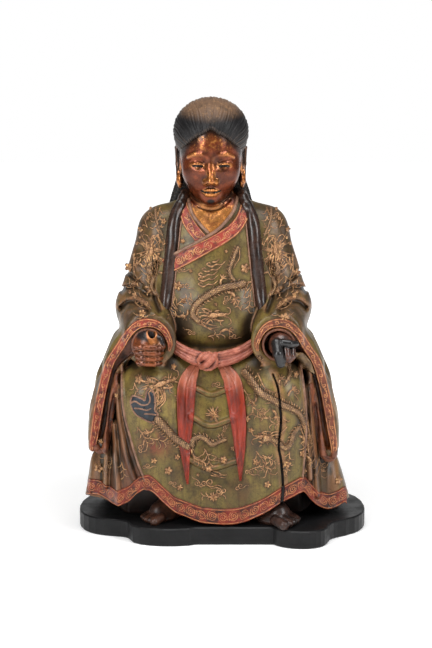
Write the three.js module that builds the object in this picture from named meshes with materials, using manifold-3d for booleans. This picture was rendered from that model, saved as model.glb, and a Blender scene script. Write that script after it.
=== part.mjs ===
// Seated figure of a robed deity, carved in one piece of lacquered wood, on its black lobed plinth.
// Millimetres. +X is the viewer's right, -Y is the front, +Z is up; the origin is under the plinth's centre.
// The figure is described by signed distances (negative inside the wood) in its own frame: x = 0 on its
// middle line, z = 0 on its underside. Those distances are turned into closed meshes and joined.

import * as THREE from "three";
import Module from "manifold-3d";

// Driving sizes
const FIGURE_HEIGHT = 660; // underside to the top of the hair
const FIGURE_OFFSET = -14; // the figure's middle line, from the plinth's centre
const PLINTH = { height: 28, halfWidth: 232, halfDepth: 150, front: 124, bevel: 2, chords: 6 };

// Places on the figure, for a height of 660. Widths are half widths from the middle line.
const DRAWN_HEIGHT = 660;
const HIP = [45, 12, 232];
const KNEE = [97, -68, 196];
const ANKLE = [104, -56, 36];
const LIMB = { hip: 50, knee: 50, ankle: 57 };
const SHOULDER = [79, 15, 449];
const ELBOW = [111, 4, 328];
const CUFF = [97, -94, 284];
const ARM = { shoulder: 39, elbow: 43, cuff: 40 };
const CUFF_FACE = -89; // y of the flat end of each sleeve
const SLEEVE = { front: -68, back: 38, thick: 17, top: 292, left: 98, right: 86, round: 13 };
const HEAD = { centre: [-4, 2, 575], tilt: 6 };
const FOOT_LENGTH = 62;

// Small helpers
const clamp = (v, low, high) => Math.min(Math.max(v, low), high);
const mix = (a, b, t) => a + (b - a) * t;
const smooth = (low, high, v) => {
  const t = clamp((v - low) / (high - low), 0, 1);
  return t * t * (3 - 2 * t);
};
const join = (a, b, k) => Math.min(a, b) - Math.max(k - Math.abs(a - b), 0) ** 2 / (4 * k);
const meet = (a, b, k) => -join(-a, -b, k);
const cut = (a, b, k) => meet(a, -b, k);
const SIDES = [-1, 1];

// An ellipsoid, as a distance that is exact on its surface.
function ellipsoid([cx, cy, cz], [rx, ry, rz]) {
  return (x, y, z) => {
    const [u, v, w] = [(x - cx) / rx, (y - cy) / ry, (z - cz) / rz];
    const size = Math.hypot(u, v, w);
    const slope = Math.hypot(u / rx, v / ry, w / rz);
    return slope === 0 ? -Math.min(rx, ry, rz) : (size * (size - 1)) / slope;
  };
}

// A limb that tapers evenly between two balls.
function limb([ax, ay, az], [bx, by, bz], ra, rb) {
  const [dx, dy, dz] = [bx - ax, by - ay, bz - az];
  const length2 = dx * dx + dy * dy + dz * dz;
  return (x, y, z) => {
    const t = clamp(((x - ax) * dx + (y - ay) * dy + (z - az) * dz) / length2, 0, 1);
    return Math.hypot(x - ax - dx * t, y - ay - dy * t, z - az - dz * t) - mix(ra, rb, t);
  };
}

// A cord through hand-placed points, with a radius at each point, softened at its joints.
function cord(points, radii, blend = 2) {
  const parts = points.slice(1).map((p, i) => limb(points[i], p, radii[i], radii[i + 1]));
  return (x, y, z) => parts.reduce((d, part) => join(d, part(x, y, z), blend), 1e3);
}

// Distance in the x-z plane to a line of points, less a half width that may change along it.
function stroke(points, widths) {
  const wide = Array.isArray(widths) ? widths : points.map(() => widths);
  const reach = Math.max(...wide) + 12;
  const low = [0, 1].map((k) => Math.min(...points.map((p) => p[k])) - reach);
  const high = [0, 1].map((k) => Math.max(...points.map((p) => p[k])) + reach);
  return (x, z) => {
    if (x < low[0] || z < low[1] || x > high[0] || z > high[1]) return reach;
    let nearest = reach;
    for (let i = 1; i < points.length; i += 1) {
      const [[ax, az], [bx, bz]] = [points[i - 1], points[i]];
      const [dx, dz] = [bx - ax, bz - az];
      const t = clamp(((x - ax) * dx + (z - az) * dz) / (dx * dx + dz * dz), 0, 1);
      const d = Math.hypot(x - ax - dx * t, z - az - dz * t) - mix(wide[i - 1], wide[i], t);
      nearest = Math.min(nearest, d);
    }
    return nearest;
  };
}

// A smooth line through a few points, as three.js draws it.
function curve(points, steps = 24) {
  const line = new THREE.CatmullRomCurve3(
    points.map(([x, z, y = 0]) => new THREE.Vector3(x, y, z)),
    false,
    "catmullrom",
    0.5,
  );
  return line.getPoints(steps).map((p) => [p.x, p.z]);
}
const flip = (points) => points.map(([x, ...rest]) => [-x, ...rest]);

// Dress and relief seen from the front, as lines in x and z
const LAPEL = [[47, 502], [61, 468], [66, 420], [71, 374], [76, 334]];
const LAPEL_WIDTHS = [9, 10, 9.5, 9, 7];
const COLLAR_OVER = [
  [52, 497], [47, 478], [36, 460], [19, 447], [-4, 434], [-31, 420], [-59, 405], [-76, 397],
];
const COLLAR_UNDER = [[-50, 500], [-45, 481], [-38, 465], [-26, 449], [-14, 436]];
const NECKLINE = [
  [-42, 512], [-34, 481], [-21, 464], [-7, 449], [7, 457], [21, 470], [32, 485], [40, 512],
];
const NECK_DEPTH = 5;
const RIBBONS = [
  [[-24, 250], [-34, 235], [-41, 217], [-43, 171], [-44, 124], [-40, 66]],
  [[8, 252], [22, 235], [31, 217], [38, 171], [41, 124], [42, 71]],
];
const RIBBON_WIDTHS = [5, 11, 14.5, 13, 9, 1.5];
const MOUTH = [[119, 284], [145, 256], [159, 232], [167, 190], [175, 145], [182, 112]];
const MOUTH_WIDTHS = [13, 9, 6, 5, 5.5, 6.5];
const MOUTH_DEPTH = [-36, -60];
const OUTER_LIP = [
  [71, 293], [77, 305], [87, 313], [100, 316], [113, 314], [124, 307], [135, 294], [148, 272], [162, 249],
  [172, 216], [180, 178], [186, 142], [190, 116],
];
const OUTER_LIP_WIDTHS = [5, 6, 6.5, 7, 7, 6.5, 6.5, 7, 7.5, 7.5, 7.5, 7, 6];
const HEM = [
  [-240, 34], [-215, 36], [-200, 36], [-185, 33], [-167, 30], [-150, 29], [-133, 36], [-118, 51], [-104, 58],
  [-93, 54], [-80, 41], [-62, 24], [-45, 16], [-20, 7], [5, 4], [32, 4], [55, 10], [80, 22], [105, 38],
  [124, 47], [140, 52], [152, 40], [167, 23], [182, 13], [199, 18], [215, 28], [245, 36],
];
const HEM_BORDER = 24;
const PANEL_EDGE = {
  left: [[-143, 245], [-141, 210], [-137, 173], [-128, 137], [-117, 100], [-106, 72]],
  right: [[136, 245], [142, 193], [144, 146], [139, 72]],
};
const SWAGS = [
  [[-24, 212], [-4, 203], [17, 209]],
  [[-35, 171], [-6, 156], [29, 166]],
  [[-38, 105], [-6, 91], [34, 101]],
];
const SIDE_FOLDS = [
  [[-151, 227], [-149, 172], [-138, 117], [-124, 74]],
  [[-158, 150], [-154, 106], [-150, 60], [-149, 30]],
  [[150, 232], [155, 170], [160, 108], [165, 40]],
];
const ELBOW_FOLDS = [
  [[146, 354], [135, 362], [118, 362], [102, 352]],
  [[146, 330], [134, 340], [117, 341], [103, 332]],
];

// Raised and sunk lines of the cloth: [distance, height, softness of the edge]
const CLOTH_LINES = [
  ...SWAGS.map((line) => [stroke(curve(line), 2), 4.5, 9]),
  ...SIDE_FOLDS.map((line) => [stroke(curve(line), 1.5), 6, 8]),
  ...SIDES.flatMap((side) =>
    ELBOW_FOLDS.map((line) => [stroke(curve(side < 0 ? flip(line) : line), 1.5), -5, 7])),
];
const PANEL_STEP = 7;
const panelLines = [stroke(PANEL_EDGE.left, 0), stroke(PANEL_EDGE.right, 0)];
const widthAt = (line, z) => {
  const i = clamp(line.findIndex(([, pz]) => pz < z), 1, line.length - 1);
  const [[ax, az], [bx, bz]] = [line[i - 1], line[i]];
  return mix(ax, bx, clamp((z - az) / (bz - az), 0, 1));
};

// The front panel of the inner robe lies over the side folds, which sit a step behind its edges.
function besidePanel(x, z) {
  const edge = x < 0 ? PANEL_EDGE.left : PANEL_EDGE.right;
  const away = Math.abs(x) - Math.abs(widthAt(edge, z));
  const near = Math.abs(panelLines[x < 0 ? 0 : 1](x, z));
  return smooth(-2, 9, away < 0 ? -near : near) * smooth(250, 225, z) * smooth(200, 178, Math.abs(x));
}

// How far a point is inside the opening at the neck, counted upwards from its edge
function aboveNeckline(x, z) {
  const i = clamp(NECKLINE.findIndex(([px]) => px > x), 1, NECKLINE.length - 1);
  const [[ax, az], [bx, bz]] = [NECKLINE[i - 1], NECKLINE[i]];
  return Math.abs(x) > 41 ? -10 : z - mix(az, bz, (x - ax) / (bx - ax));
}

function frontRelief(x, z) {
  let height = -NECK_DEPTH * smooth(-2, 3, aboveNeckline(x, z));
  for (const [line, rise, soft] of CLOTH_LINES) {
    const part = rise * smooth(soft, 0, line(x, z));
    height = rise > 0 ? Math.max(height, part) : height + part;
  }
  return height - PANEL_STEP * besidePanel(x, z);
}

// The skirts: a bell that widens to the hem, with upright folds at the sides and back
const BELL = { wide: 213, front: 118, back: 112, power: 2.4 };
const ovalSize = (across, along) => (across ** BELL.power + along ** BELL.power) ** (1 / BELL.power);

function bell(x, y, z) {
  const low = smooth(190, 20, z);
  const out = x - 6 * smooth(130, 0, z);
  const turn = Math.atan2(y + 10, Math.abs(out));
  const fold = smooth(-0.75, -0.45, turn) * low * 4.5 * Math.cos(turn * 13 + 0.8 * Math.sin(z / 40));
  const wide = fold + BELL.wide - 0.15 * z - 0.0006 * z * z;
  const front = fold + BELL.front - 0.08 * z - 0.00045 * z * z;
  const back = fold + BELL.back - 0.06 * z - 0.00025 * z * z;
  const size = ovalSize(Math.abs(out / wide), Math.abs(y / (y < 0 ? front : back)));
  return (size - 1) * Math.min(Math.hypot(out, y) / (size + 1e-6), 150) * 0.9;
}

const hemLine = curve(HEM, 96);
function hemHeight(x) {
  const i = hemLine.findIndex(([px]) => px > x);
  if (i <= 0) return 5;
  const [[ax, az], [bx, bz]] = [hemLine[i - 1], hemLine[i]];
  return mix(az, bz, (x - ax) / (bx - ax));
}

// The hem at the sides is cut lower towards the back, so it is met there a little lower than in front
const HEM_CUT = { front: -180, middle: -44, side: 90, lift: 0.6 };
const sideways = (x) => smooth(135, 190, Math.abs(x));
const hemFront = (x) => hemHeight(x) * (1 + HEM_CUT.lift * sideways(x));
const hemBack = (x) => hemHeight(x) * (1 - sideways(x));
const hemDepth = (x) => mix(HEM_CUT.middle, HEM_CUT.side, sideways(x));

function hemEdge(x) {
  const front = -BELL.front * Math.max(1 - Math.abs(x / BELL.wide) ** BELL.power, 0) ** (1 / BELL.power);
  const along = clamp((front - HEM_CUT.front) / (hemDepth(x) - HEM_CUT.front), 0, 1);
  return mix(hemFront(x), hemBack(x), along);
}

const thigh = limb(HIP, KNEE, LIMB.hip, LIMB.knee);
const shin = limb(KNEE, ANKLE, LIMB.knee, LIMB.ankle);
const chest = ellipsoid([0, 12, 402], [96, 58, 100]);
const belly = ellipsoid([0, -8, 316], [84, 60, 64]);
const spine = ellipsoid([0, 22, 360], [108, 60, 135]);
const yoke = limb([24, 10, 476], SHOULDER, 31, 39);
const mantle = limb([62, 30, 430], [112, 26, 120], 50, 74);
const upperArm = limb(SHOULDER, ELBOW, ARM.shoulder, ARM.elbow);
const foreArm = limb(ELBOW, CUFF, ARM.elbow, ARM.cuff);

const cuffHollow = limb([98, -62, 284], [98, -110, 281], 21, 28);

// The long bag of each sleeve, which hangs beside the thigh
function sleeveBag(ax, y, z, end) {
  const middle = 180 - 0.00155 * (z - 120) ** 2;
  const bottom = end + 0.22 * Math.max(y - SLEEVE.front, 0);
  const half = (SLEEVE.top - bottom) / 2;
  const r = SLEEVE.round;
  const u = Math.abs(ax - middle) - SLEEVE.thick - 2 * Math.cos((y + 22) / 8.5) + r;
  const v = Math.abs(y - (SLEEVE.front + SLEEVE.back) / 2) - (SLEEVE.back - SLEEVE.front) / 2 + r;
  const w = Math.abs(z - bottom - half) - half + r;
  return Math.hypot(Math.max(u, 0), Math.max(v, 0), Math.max(w, 0)) + Math.min(Math.max(u, v, w), 0) - r;
}

function robe(x, y, z) {
  const ax = Math.abs(x);
  let d = meet(bell(x, y, z), z - 268, 40);
  d = join(d, thigh(ax, y, z), 26);
  d = join(d, shin(ax, y, z), 30);
  let torso = join(chest(x, y, z), belly(x, y, z), 24);
  torso = join(torso, spine(x, y, z), 30);
  torso = join(torso, yoke(ax, y, z), 14);
  torso = join(torso, mantle(ax, y, z), 24);
  d = join(d, torso, mix(12, 40, smooth(0, 50, y)));
  let sleeve = join(upperArm(ax, y, z), foreArm(ax, y, z), 12);
  sleeve = meet(sleeve, CUFF_FACE - y, 6);
  sleeve = join(sleeve, sleeveBag(ax, y, z, x < 0 ? SLEEVE.left : SLEEVE.right), 22);
  d = join(d, sleeve, 7);
  if (d > 12 || d < -40) return d;
  if (y < 30) d -= frontRelief(x, z) * smooth(30, 0, y);
  return cut(d, cuffHollow(ax, y, z), 4);
}

// Where the cloth's front surface lies, above or beside the hollows at the hem
function frontOf(x, z) {
  let [low, high] = [-150, 20];
  let y = low;
  while (y < high && robe(x, y, z) > 0) y += 3;
  [low, high] = [y - 3, y];
  for (let i = 0; i < 8; i += 1) {
    const middle = (low + high) / 2;
    if (robe(x, middle, z) > 0) low = middle;
    else high = middle;
  }
  return high;
}

// Head, in its own upright frame about the middle of the skull
function placeHead(x, y, z) {
  const [cx, cy, cz] = HEAD.centre;
  const angle = THREE.MathUtils.degToRad(HEAD.tilt);
  const [c, s] = [Math.cos(angle), Math.sin(angle)];
  const [u, v, w] = [x - cx, y - cy, z - cz];
  return [u, v * c + w * s, w * c - v * s];
}

const skull = ellipsoid([0, 4, 16], [50, 58, 62]);
const jaw = ellipsoid([0, -8, -28], [43, 46, 53]);
const cheek = ellipsoid([24, -30, -28], [18, 15, 20]);
const chin = ellipsoid([0, -31, -69], [15, 14, 13]);
const neck = cord([[0, 8, -50], [0, 10, -95], [0, 4, -135]], [32, 33, 44], 8);
const bridge = limb([0, -49, -4], [0, -60, -37], 4.5, 6.5);
const nostril = ellipsoid([6.5, -54, -40], [5.5, 6, 4.5]);
const brow = cord([[5, -50, -4], [20, -49, 3], [36, -38, -3]], [3, 3, 2.5]);
const socket = ellipsoid([18.5, -56, -13], [12, 7, 7]);
const eyeball = ellipsoid([18.5, -41, -13], [11, 9.5, 9]);
const upperLip = cord([[0, -49.5, -54], [12, -45, -57]], [3, 1.6]);
const lowerLip = cord([[0, -48, -60.5], [10, -44, -59]], [3.6, 1.8]);
const earRim = cord([[44, 2, -6], [50, 5, 8], [54, 13, 4], [53, 12, -22], [50, 4, -46]], [4, 4, 4, 4, 5.5]);
const earBowl = ellipsoid([48, 7, -16], [4, 8, 24]);
const earLobe = ellipsoid([49, 2, -48], [5, 7, 11]);
const hairCap = ellipsoid([0, 8, 31], [60, 66, 54]);
const hairBack = cord([[0, 32, 0], [0, 38, -60], [0, 40, -110], [0, 50, -180]], [47, 40, 42, 26], 14);
const hairLock = cord([[42, 24, -18], [47, 24, -55], [58, 22, -76], [68, 18, -94]], [11, 10, 11, 10], 6);

function head(x, y, z) {
  const [u, v, w] = placeHead(x, y, z);
  const au = Math.abs(u);
  let d = join(skull(u, v, w), jaw(u, v, w), 22);
  d = join(d, cheek(au, v, w), 14);
  d = join(d, chin(u, v, w), 12);
  d = cut(d, socket(au, v, w), 7);
  d = join(d, eyeball(au, v, w), 2);
  d = join(d, brow(au, v, w), 6);
  d = join(d, join(bridge(u, v, w), nostril(au, v, w), 3), 5);
  d = join(d, Math.min(upperLip(au, v, w), lowerLip(au, v, w)), 3);
  d = join(d, neck(u, v, w), 8);
  d = join(d, join(join(earRim(au, v, w), earBowl(au, v, w), 3), earLobe(au, v, w), 5), 3);
  const hairline = 36 - 36 * (u / 47) ** 2 - 2.5 * Math.max(v + 2, 0);
  const strands = 1.6 * Math.sin(u / 2.6 + 1.2 * Math.sin(w / 30)) * smooth(10, -20, w) * smooth(20, 40, v);
  const fall = meet(hairBack(u * 0.86, v * 1.25 - 8, w) / 1.1 - strands, 8 - v, 10);
  const cap = meet(hairCap(u, v, w), hairline - w, 4);
  return join(d, join(join(cap, fall, 14), hairLock(au, v, w), 8), 2);
}

// Hands. The left one is a fist that once held a staff; the right one points down over the knee.
const FINGER_Z = [279.5, 272, 264.5, 257];
const fist = [
  ellipsoid([-101, -96, 279], [22, 18, 23]),
  limb([-101, -60, 285], [-102, -88, 282], 19, 20),
  cord([[-111, -94, 296], [-96, -95, 300], [-82, -101, 292], [-78, -107, 283]], [6, 6, 5.6, 5]),
];
const fingers = FINGER_Z.map((z, i) => {
  const joints = [[-119, -101, z], [-103, -117, z], [-86, -117, z - 1], [-77 - i, -107, z - 1]];
  return cord(joints, [4.6, 4.6, 4.4, 3.8], 1);
});
const staffHole = limb([-95, -103, 284], [-95, -100, 320], 5.5, 5.5);
const pointing = [
  ellipsoid([105, -94, 280], [18, 16, 19]),
  limb([103, -60, 286], [104, -88, 284], 18, 18),
];
const pointers = [
  cord([[97, -108, 287], [99, -120, 272], [103, -119, 257]], [8.5, 8.2, 7], 1.5),
  cord([[107, -110, 288], [117, -112, 287], [126, -106, 286]], [6.5, 6.2, 5.2], 1.5),
  cord([[112, -110, 278], [113, -115, 268], [109, -112, 261]], [6, 6, 5], 1.5),
  cord([[121, -104, 276], [121, -109, 267], [116, -108, 260]], [5.5, 5.5, 4.6], 1.5),
];

const nearest = (parts, x, y, z, k) => parts.reduce((d, part) => join(d, part(x, y, z), k), 1e3);
const leftHand = (x, y, z) => {
  const palm = nearest(fist, x, y, z, 8);
  const all = nearest(fingers, x, y, z, 1.2);
  return cut(join(palm, all, 2), staffHole(x, y, z), 2);
};
const rightHand = (x, y, z) => join(nearest(pointing, x, y, z, 6), nearest(pointers, x, y, z, 1.2), 2);

// A bare foot under its leg: instep, sole and five toes, set down at a point and turned outwards
const TOES = { across: [-17, -6, 2, 10, 17], reach: [9, 8, 6, 3, -1], thick: [7, 5, 5, 5, 4.5] };

function foot([x0, y0], turn, size) {
  const side = Math.sign(x0);
  const angle = THREE.MathUtils.degToRad(turn);
  const [c, s] = [Math.cos(angle), Math.sin(angle)];
  const half = FOOT_LENGTH / 2;
  const instep = limb([0, half, 24], [0, -half * 0.4, 13], 22, 15);
  const leg = limb([0, half, 26], [4, half * 1.7, 66], 22, 26);
  const sole = ellipsoid([0, 0, 5], [23, half, 11]);
  const toes = TOES.across.map((across, i) => {
    const tip = -half - TOES.reach[i];
    return limb([across, tip + 16, 9], [across, tip, 5.5], 6.5 - i * 0.4, TOES.thick[i]);
  });
  return (x, y, z) => {
    const [dx, dy] = [((x - x0) * side) / size, (y - y0) / size];
    const [u, v, w] = [dx * c + dy * s, dy * c - dx * s, z / size];
    const upper = join(join(instep(u, v, w), sole(u, v, w), 8), leg(u, v, w), 12);
    return Math.max(join(upper, nearest(toes, u, v, w, 1.2), 3) * size, -z);
  };
}
const leftFoot = foot([-78, -72], 42, 1);
const rightFoot = foot([92, -87], 42, 1.2);

// Sash: two cords round the waist and a knot
const SASH = [
  [[-84, -34, 299], [-75, -50, 289], [-52, -66, 274], [-20, -76, 263], [4, -76, 262], [42, -70, 271],
    [74, -50, 289], [84, -34, 300]],
  [[-82, -38, 287], [-72, -54, 278], [-50, -69, 263], [-24, -79, 252], [14, -79, 251], [44, -71, 260],
    [74, -53, 279], [84, -38, 290]],
];
const sashCords = SASH.map((points) => {
  const places = points.map((p) => new THREE.Vector3(...p));
  const line = new THREE.CatmullRomCurve3(places, false, "catmullrom", 0.5);
  const path = line.getPoints(20).map((p) => p.toArray());
  return cord(path, path.map(() => 5.8), 1);
});
const knot = [
  ellipsoid([-9, -80, 256], [14, 11, 14]),
  cord([[-22, -78, 262], [-14, -90, 262], [2, -90, 266], [6, -80, 258]], [5, 5.5, 5.5, 5]),
  cord([[-20, -80, 250], [-8, -92, 252], [6, -86, 246]], [5, 6, 5]),
];
const sash = (x, y, z) => join(nearest(sashCords, x, y, z, 1), nearest(knot, x, y, z, 2), 3);

// Trim and relief that lie on the front of the cloth, as closed strips and rounded cords
const STRIP_SINK = 5;
const steady = (rows) => rows.map((row, i) => row.map(([x, y, z], j) => {
  const [before, after] = [rows[Math.max(i - 1, 0)][j], rows[Math.min(i + 1, rows.length - 1)][j]];
  return [x, (before[1] + y + after[1]) / 3, z];
}));

// A closed body between two sheets, each given as rows of points
function between(front, back) {
  const across = front[0].length;
  const positions = [...front.flat(), ...back.flat()];
  const base = front.length * across;
  const triangles = [];
  const quad = (a, b, c, d) => triangles.push([a, b, c], [a, c, d]);
  for (let i = 1; i < front.length; i += 1) {
    for (let j = 1; j < across; j += 1) {
      const [a, b] = [(i - 1) * across + j - 1, i * across + j - 1];
      quad(a, b, b + 1, a + 1);
      quad(base + a, base + a + 1, base + b + 1, base + b);
    }
    for (const [a, b] of [[i * across, (i - 1) * across], [i * across - 1, (i + 1) * across - 1]]) {
      quad(a, b, base + b, base + a);
    }
  }
  const last = base - across;
  for (let j = 1; j < across; j += 1) {
    quad(j - 1, j, base + j, base + j - 1);
    quad(last + j, last + j - 1, base + last + j - 1, base + last + j);
  }
  return { positions, triangles };
}

// A strip through rows of points in x and z; its profile says how far it stands out across each row
function strip(rows, profile) {
  const laid = steady(steady(rows.map((row) => row.map(([x, z]) => [x, frontOf(x, z), z]))));
  const front = laid.map((row) => row.map(([x, y, z], j) => [x, y - profile(j / (row.length - 1)), z]));
  return between(front, laid.map((row) => row.map(([x, y, z]) => [x, y + STRIP_SINK, z])));
}

// Rows of points across a line, within a half width that changes along it
function ribbonRows(line, widths, steps, across) {
  const path = curve(line, steps);
  return path.map(([x, z], i) => {
    const [before, after] = [path[Math.max(i - 1, 0)], path[Math.min(i + 1, steps)]];
    const [dx, dz] = [after[0] - before[0], after[1] - before[1]];
    const length = Math.hypot(dx, dz);
    const at = (i / steps) * (widths.length - 1);
    const k = Math.min(Math.floor(at), widths.length - 2);
    const half = mix(widths[k], widths[k + 1], at - k);
    return Array.from({ length: across }, (unused, j) => {
      const off = ((2 * j) / (across - 1) - 1) * half;
      return [x - (dz / length) * off, z + (dx / length) * off];
    });
  });
}
const band = (line, widths, steps, across, profile) =>
  strip(ribbonRows(line, widths, steps, across), profile);

// A rounded cord along a line, half sunk in the cloth, thinning to its end
function laidCord(line, radius, tip = 0.5, sides = 5, step = 11) {
  const gaps = line.slice(1).map((p, i) => Math.hypot(p[0] - line[i][0], p[1] - line[i][1]));
  const length = gaps.reduce((sum, gap) => sum + gap, 0);
  const steps = Math.max(Math.round(length / step), 2);
  const path = curve(line, steps).map(([x, z]) => new THREE.Vector3(x, frontOf(x, z), z));
  const positions = [];
  const triangles = [];
  path.forEach((p, i) => {
    const along = path[Math.min(i + 1, steps)].clone().sub(path[Math.max(i - 1, 0)]).normalize();
    const across = along.clone().cross(new THREE.Vector3(0, 1, 0)).normalize();
    const out = across.clone().cross(along);
    const r = radius * mix(1, tip, (i / steps) ** 2);
    for (let k = 0; k < sides; k += 1) {
      const turn = (2 * Math.PI * (k + 0.25)) / sides;
      positions.push(p.clone().addScaledVector(across, r * Math.cos(turn))
        .addScaledVector(out, r * Math.sin(turn)).toArray());
      if (i === 0) continue;
      const [a, b] = [(i - 1) * sides + k, (i - 1) * sides + ((k + 1) % sides)];
      triangles.push([a, b, b + sides], [a, b + sides, a + sides]);
    }
  });
  const end = steps * sides;
  for (let k = 2; k < sides; k += 1) triangles.push([0, k, k - 1], [end, end + k - 1, end + k]);
  return { positions, triangles };
}

// A flower or cloud head: a low dome with a lobed edge
function lobed([x0, z0], size, lobes, rise = 3) {
  const y0 = frontOf(x0, z0);
  const ring = Array.from({ length: lobes * 2 }, (unused, k) => {
    const turn = (Math.PI * k) / lobes;
    const r = size * (k % 2 ? 0.55 : 1);
    const [x, z] = [x0 + r * Math.cos(turn), z0 + r * Math.sin(turn)];
    return [x, clamp(frontOf(x, z), y0 - 8, y0 + 8) + 1.5, z];
  });
  const positions = [[x0, y0 - rise, z0], [x0, y0 + 6, z0], ...ring];
  const triangles = ring.flatMap((unused, k) => {
    const [a, b] = [k + 2, ((k + 1) % ring.length) + 2];
    return [[0, a, b], [1, b, a]];
  });
  return { positions, triangles };
}

const CRACK = [[92, 238], [99, 219], [102, 196], [104, 164], [101, 128], [105, 102], [108, 64], [106, 34]];
const CRACK_RADIUS = 2.4;

const flat = () => 2.5;
const folded = (v) => 4 - 2 * Math.abs(2 * v - 1) - (v > 0.4 && v < 0.6 ? 1.5 : 0);
const rolled = (v) => 2 + 7 * Math.sin(Math.PI * v);
const lip = (v) => 2 + 2.5 * Math.sin(Math.PI * v);

function hemBorder() {
  const steps = 40;
  const rows = Array.from({ length: steps + 1 }, (unused, i) => {
    const x = mix(-200, 212, i / steps);
    return [-1, HEM_BORDER].map((rise) => [x, hemEdge(x) + rise]);
  });
  return strip(rows, flat);
}

// What is cut away under the hem: arches over the feet in front, and a rising edge at the sides
function underHem() {
  const steps = 48;
  const places = Array.from({ length: steps + 1 }, (unused, i) => mix(-240, 248, i / steps));
  return between(
    places.map((x) => [-12, hemFront(x)].map((z) => [x, HEM_CUT.front, z])),
    places.map((x) => [-12, hemBack(x)].map((z) => [x, hemDepth(x), z])),
  );
}

// The long mouth of each sleeve, open from the cuff down to the bottom of the bag
function sleeveMouth(side) {
  const rows = ribbonRows(MOUTH.map(([x, z]) => [x * side, z]), MOUTH_WIDTHS, 14, 2);
  const depth = (z) => mix(MOUTH_DEPTH[0], MOUTH_DEPTH[1], smooth(200, 280, z));
  return between(
    rows.map((row) => row.map(([x, z]) => [x, -140, z])),
    rows.map((row) => row.map(([x, z]) => [x, depth(z), z])),
  );
}

const DRAGONS = [
  [[[52, 372], [36, 369], [12, 365], [-13, 352], [-29, 338], [-32, 324], [-21, 313]], 5.5, 0.7],
  [[[-15, 324], [-2, 321], [19, 322]], 8, 0.5],
  [[[-21, 313], [-4, 302], [18, 299]], 2.8, 0.5],
  [[[39, 430], [32, 413], [25, 390], [35, 373]], 3, 0.6],
  [[[-72, 321], [-54, 324], [-32, 308]], 2.6, 0.6],
  [[[-115, 231], [-92, 225], [-67, 226]], 7.5, 0.6],
  [[[-82, 220], [-80, 204], [-90, 190], [-89, 175], [-75, 157], [-59, 137], [-37, 121]], 6, 0.8],
  [[[-33, 121], [-32, 133], [-21, 138], [-10, 133], [-2, 126], [10, 131], [21, 134]], 4.5, 0.5],
  [[[45, 240], [56, 231], [72, 213], [88, 204], [104, 195], [118, 189], [132, 178], [141, 158]], 6, 0.6],
  [[[74, 135], [87, 139], [99, 134], [110, 124], [119, 130], [124, 146], [133, 157]], 4.2, 0.6],
  [[[79, 278], [74, 259], [69, 241]], 3.2, 0.8],
  [[[116, 262], [118, 248], [115, 230]], 3.2, 0.8],
];
const SLEEVE_DRAGON = [
  [[[-91, 487], [-90, 470], [-79, 443]], 4, 0.6],
  [[[-116, 424], [-98, 421], [-82, 425]], 7.5, 0.6],
  [[[-98, 416], [-93, 404], [-96, 384], [-90, 355]], 5, 0.5],
];
const CLOUD_STROKES = [[-8, 400], [-15, 392], [-21, 384], [-21, 377], [-21, 369]];
const CLOUDS = CLOUD_STROKES.map(([x, z]) => [[x, z], [x + 14, z + 1], [x + 27, z + 8]]);
const FLOWERS = [
  [-55, 366], [49, 394], [-134, 392], [131, 384], [-109, 330], [110, 330], [-114, 233], [-90, 108], [-70, 87],
  [-7, 87], [16, 103], [-1, 47], [114, 99], [139, 123], [52, 168], [-184, 73], [198, 54],
];
const FLOWER_SIZE = 7;
const PEONY = { place: [0, 171], size: 13 };
const BLUE_CLOUD = { place: [-106, 190], size: 21 };

const reliefs = () => [
  ...SIDES.map((side) => band(side < 0 ? flip(LAPEL) : LAPEL, LAPEL_WIDTHS, 11, 4, rolled)),
  band(COLLAR_UNDER, [7, 8.5, 9.5, 9.5, 9], 6, 3, flat),
  band(COLLAR_OVER, [8, 9, 9.5, 10, 10.5, 11.5, 12, 12], 12, 3, () => 4.5),
  ...RIBBONS.map((line) => band(line, RIBBON_WIDTHS, 9, 5, folded)),
  ...SIDES.map((side) => band(side < 0 ? flip(OUTER_LIP) : OUTER_LIP, OUTER_LIP_WIDTHS, 18, 3, lip)),
  hemBorder(),
  ...[...DRAGONS, ...SLEEVE_DRAGON].map(([line, radius, tip]) => laidCord(line, radius, tip)),
  ...SLEEVE_DRAGON.map(([line, radius, tip]) => laidCord(flip(line), radius, tip)),
  ...CLOUDS.map((line) => laidCord(line, 2.6, 0.5)),
  ...FLOWERS.map((place) => lobed(place, FLOWER_SIZE, 5)),
  ...[PEONY, BLUE_CLOUD].map(({ place, size }) => lobed(place, size, 6)),
];

// Closed surface of a field in a box, by cutting each grid cell into six tetrahedra
const CELL_CORNERS = [0, 1].flatMap((c) => [0, 1].flatMap((b) => [0, 1].map((a) => [a, b, c])));
const CELL_PATHS = [[0, 1, 2], [1, 2, 0], [2, 0, 1], [0, 2, 1], [2, 1, 0], [1, 0, 2]];
const ONE = [[0, 1, 2, 3], [1, 0, 3, 2], [2, 0, 1, 3], [3, 0, 2, 1]];
const TWO = [[0, 1, 2, 3], [0, 2, 3, 1], [0, 3, 1, 2], [1, 2, 0, 3], [1, 3, 2, 0], [2, 3, 0, 1]];

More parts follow.
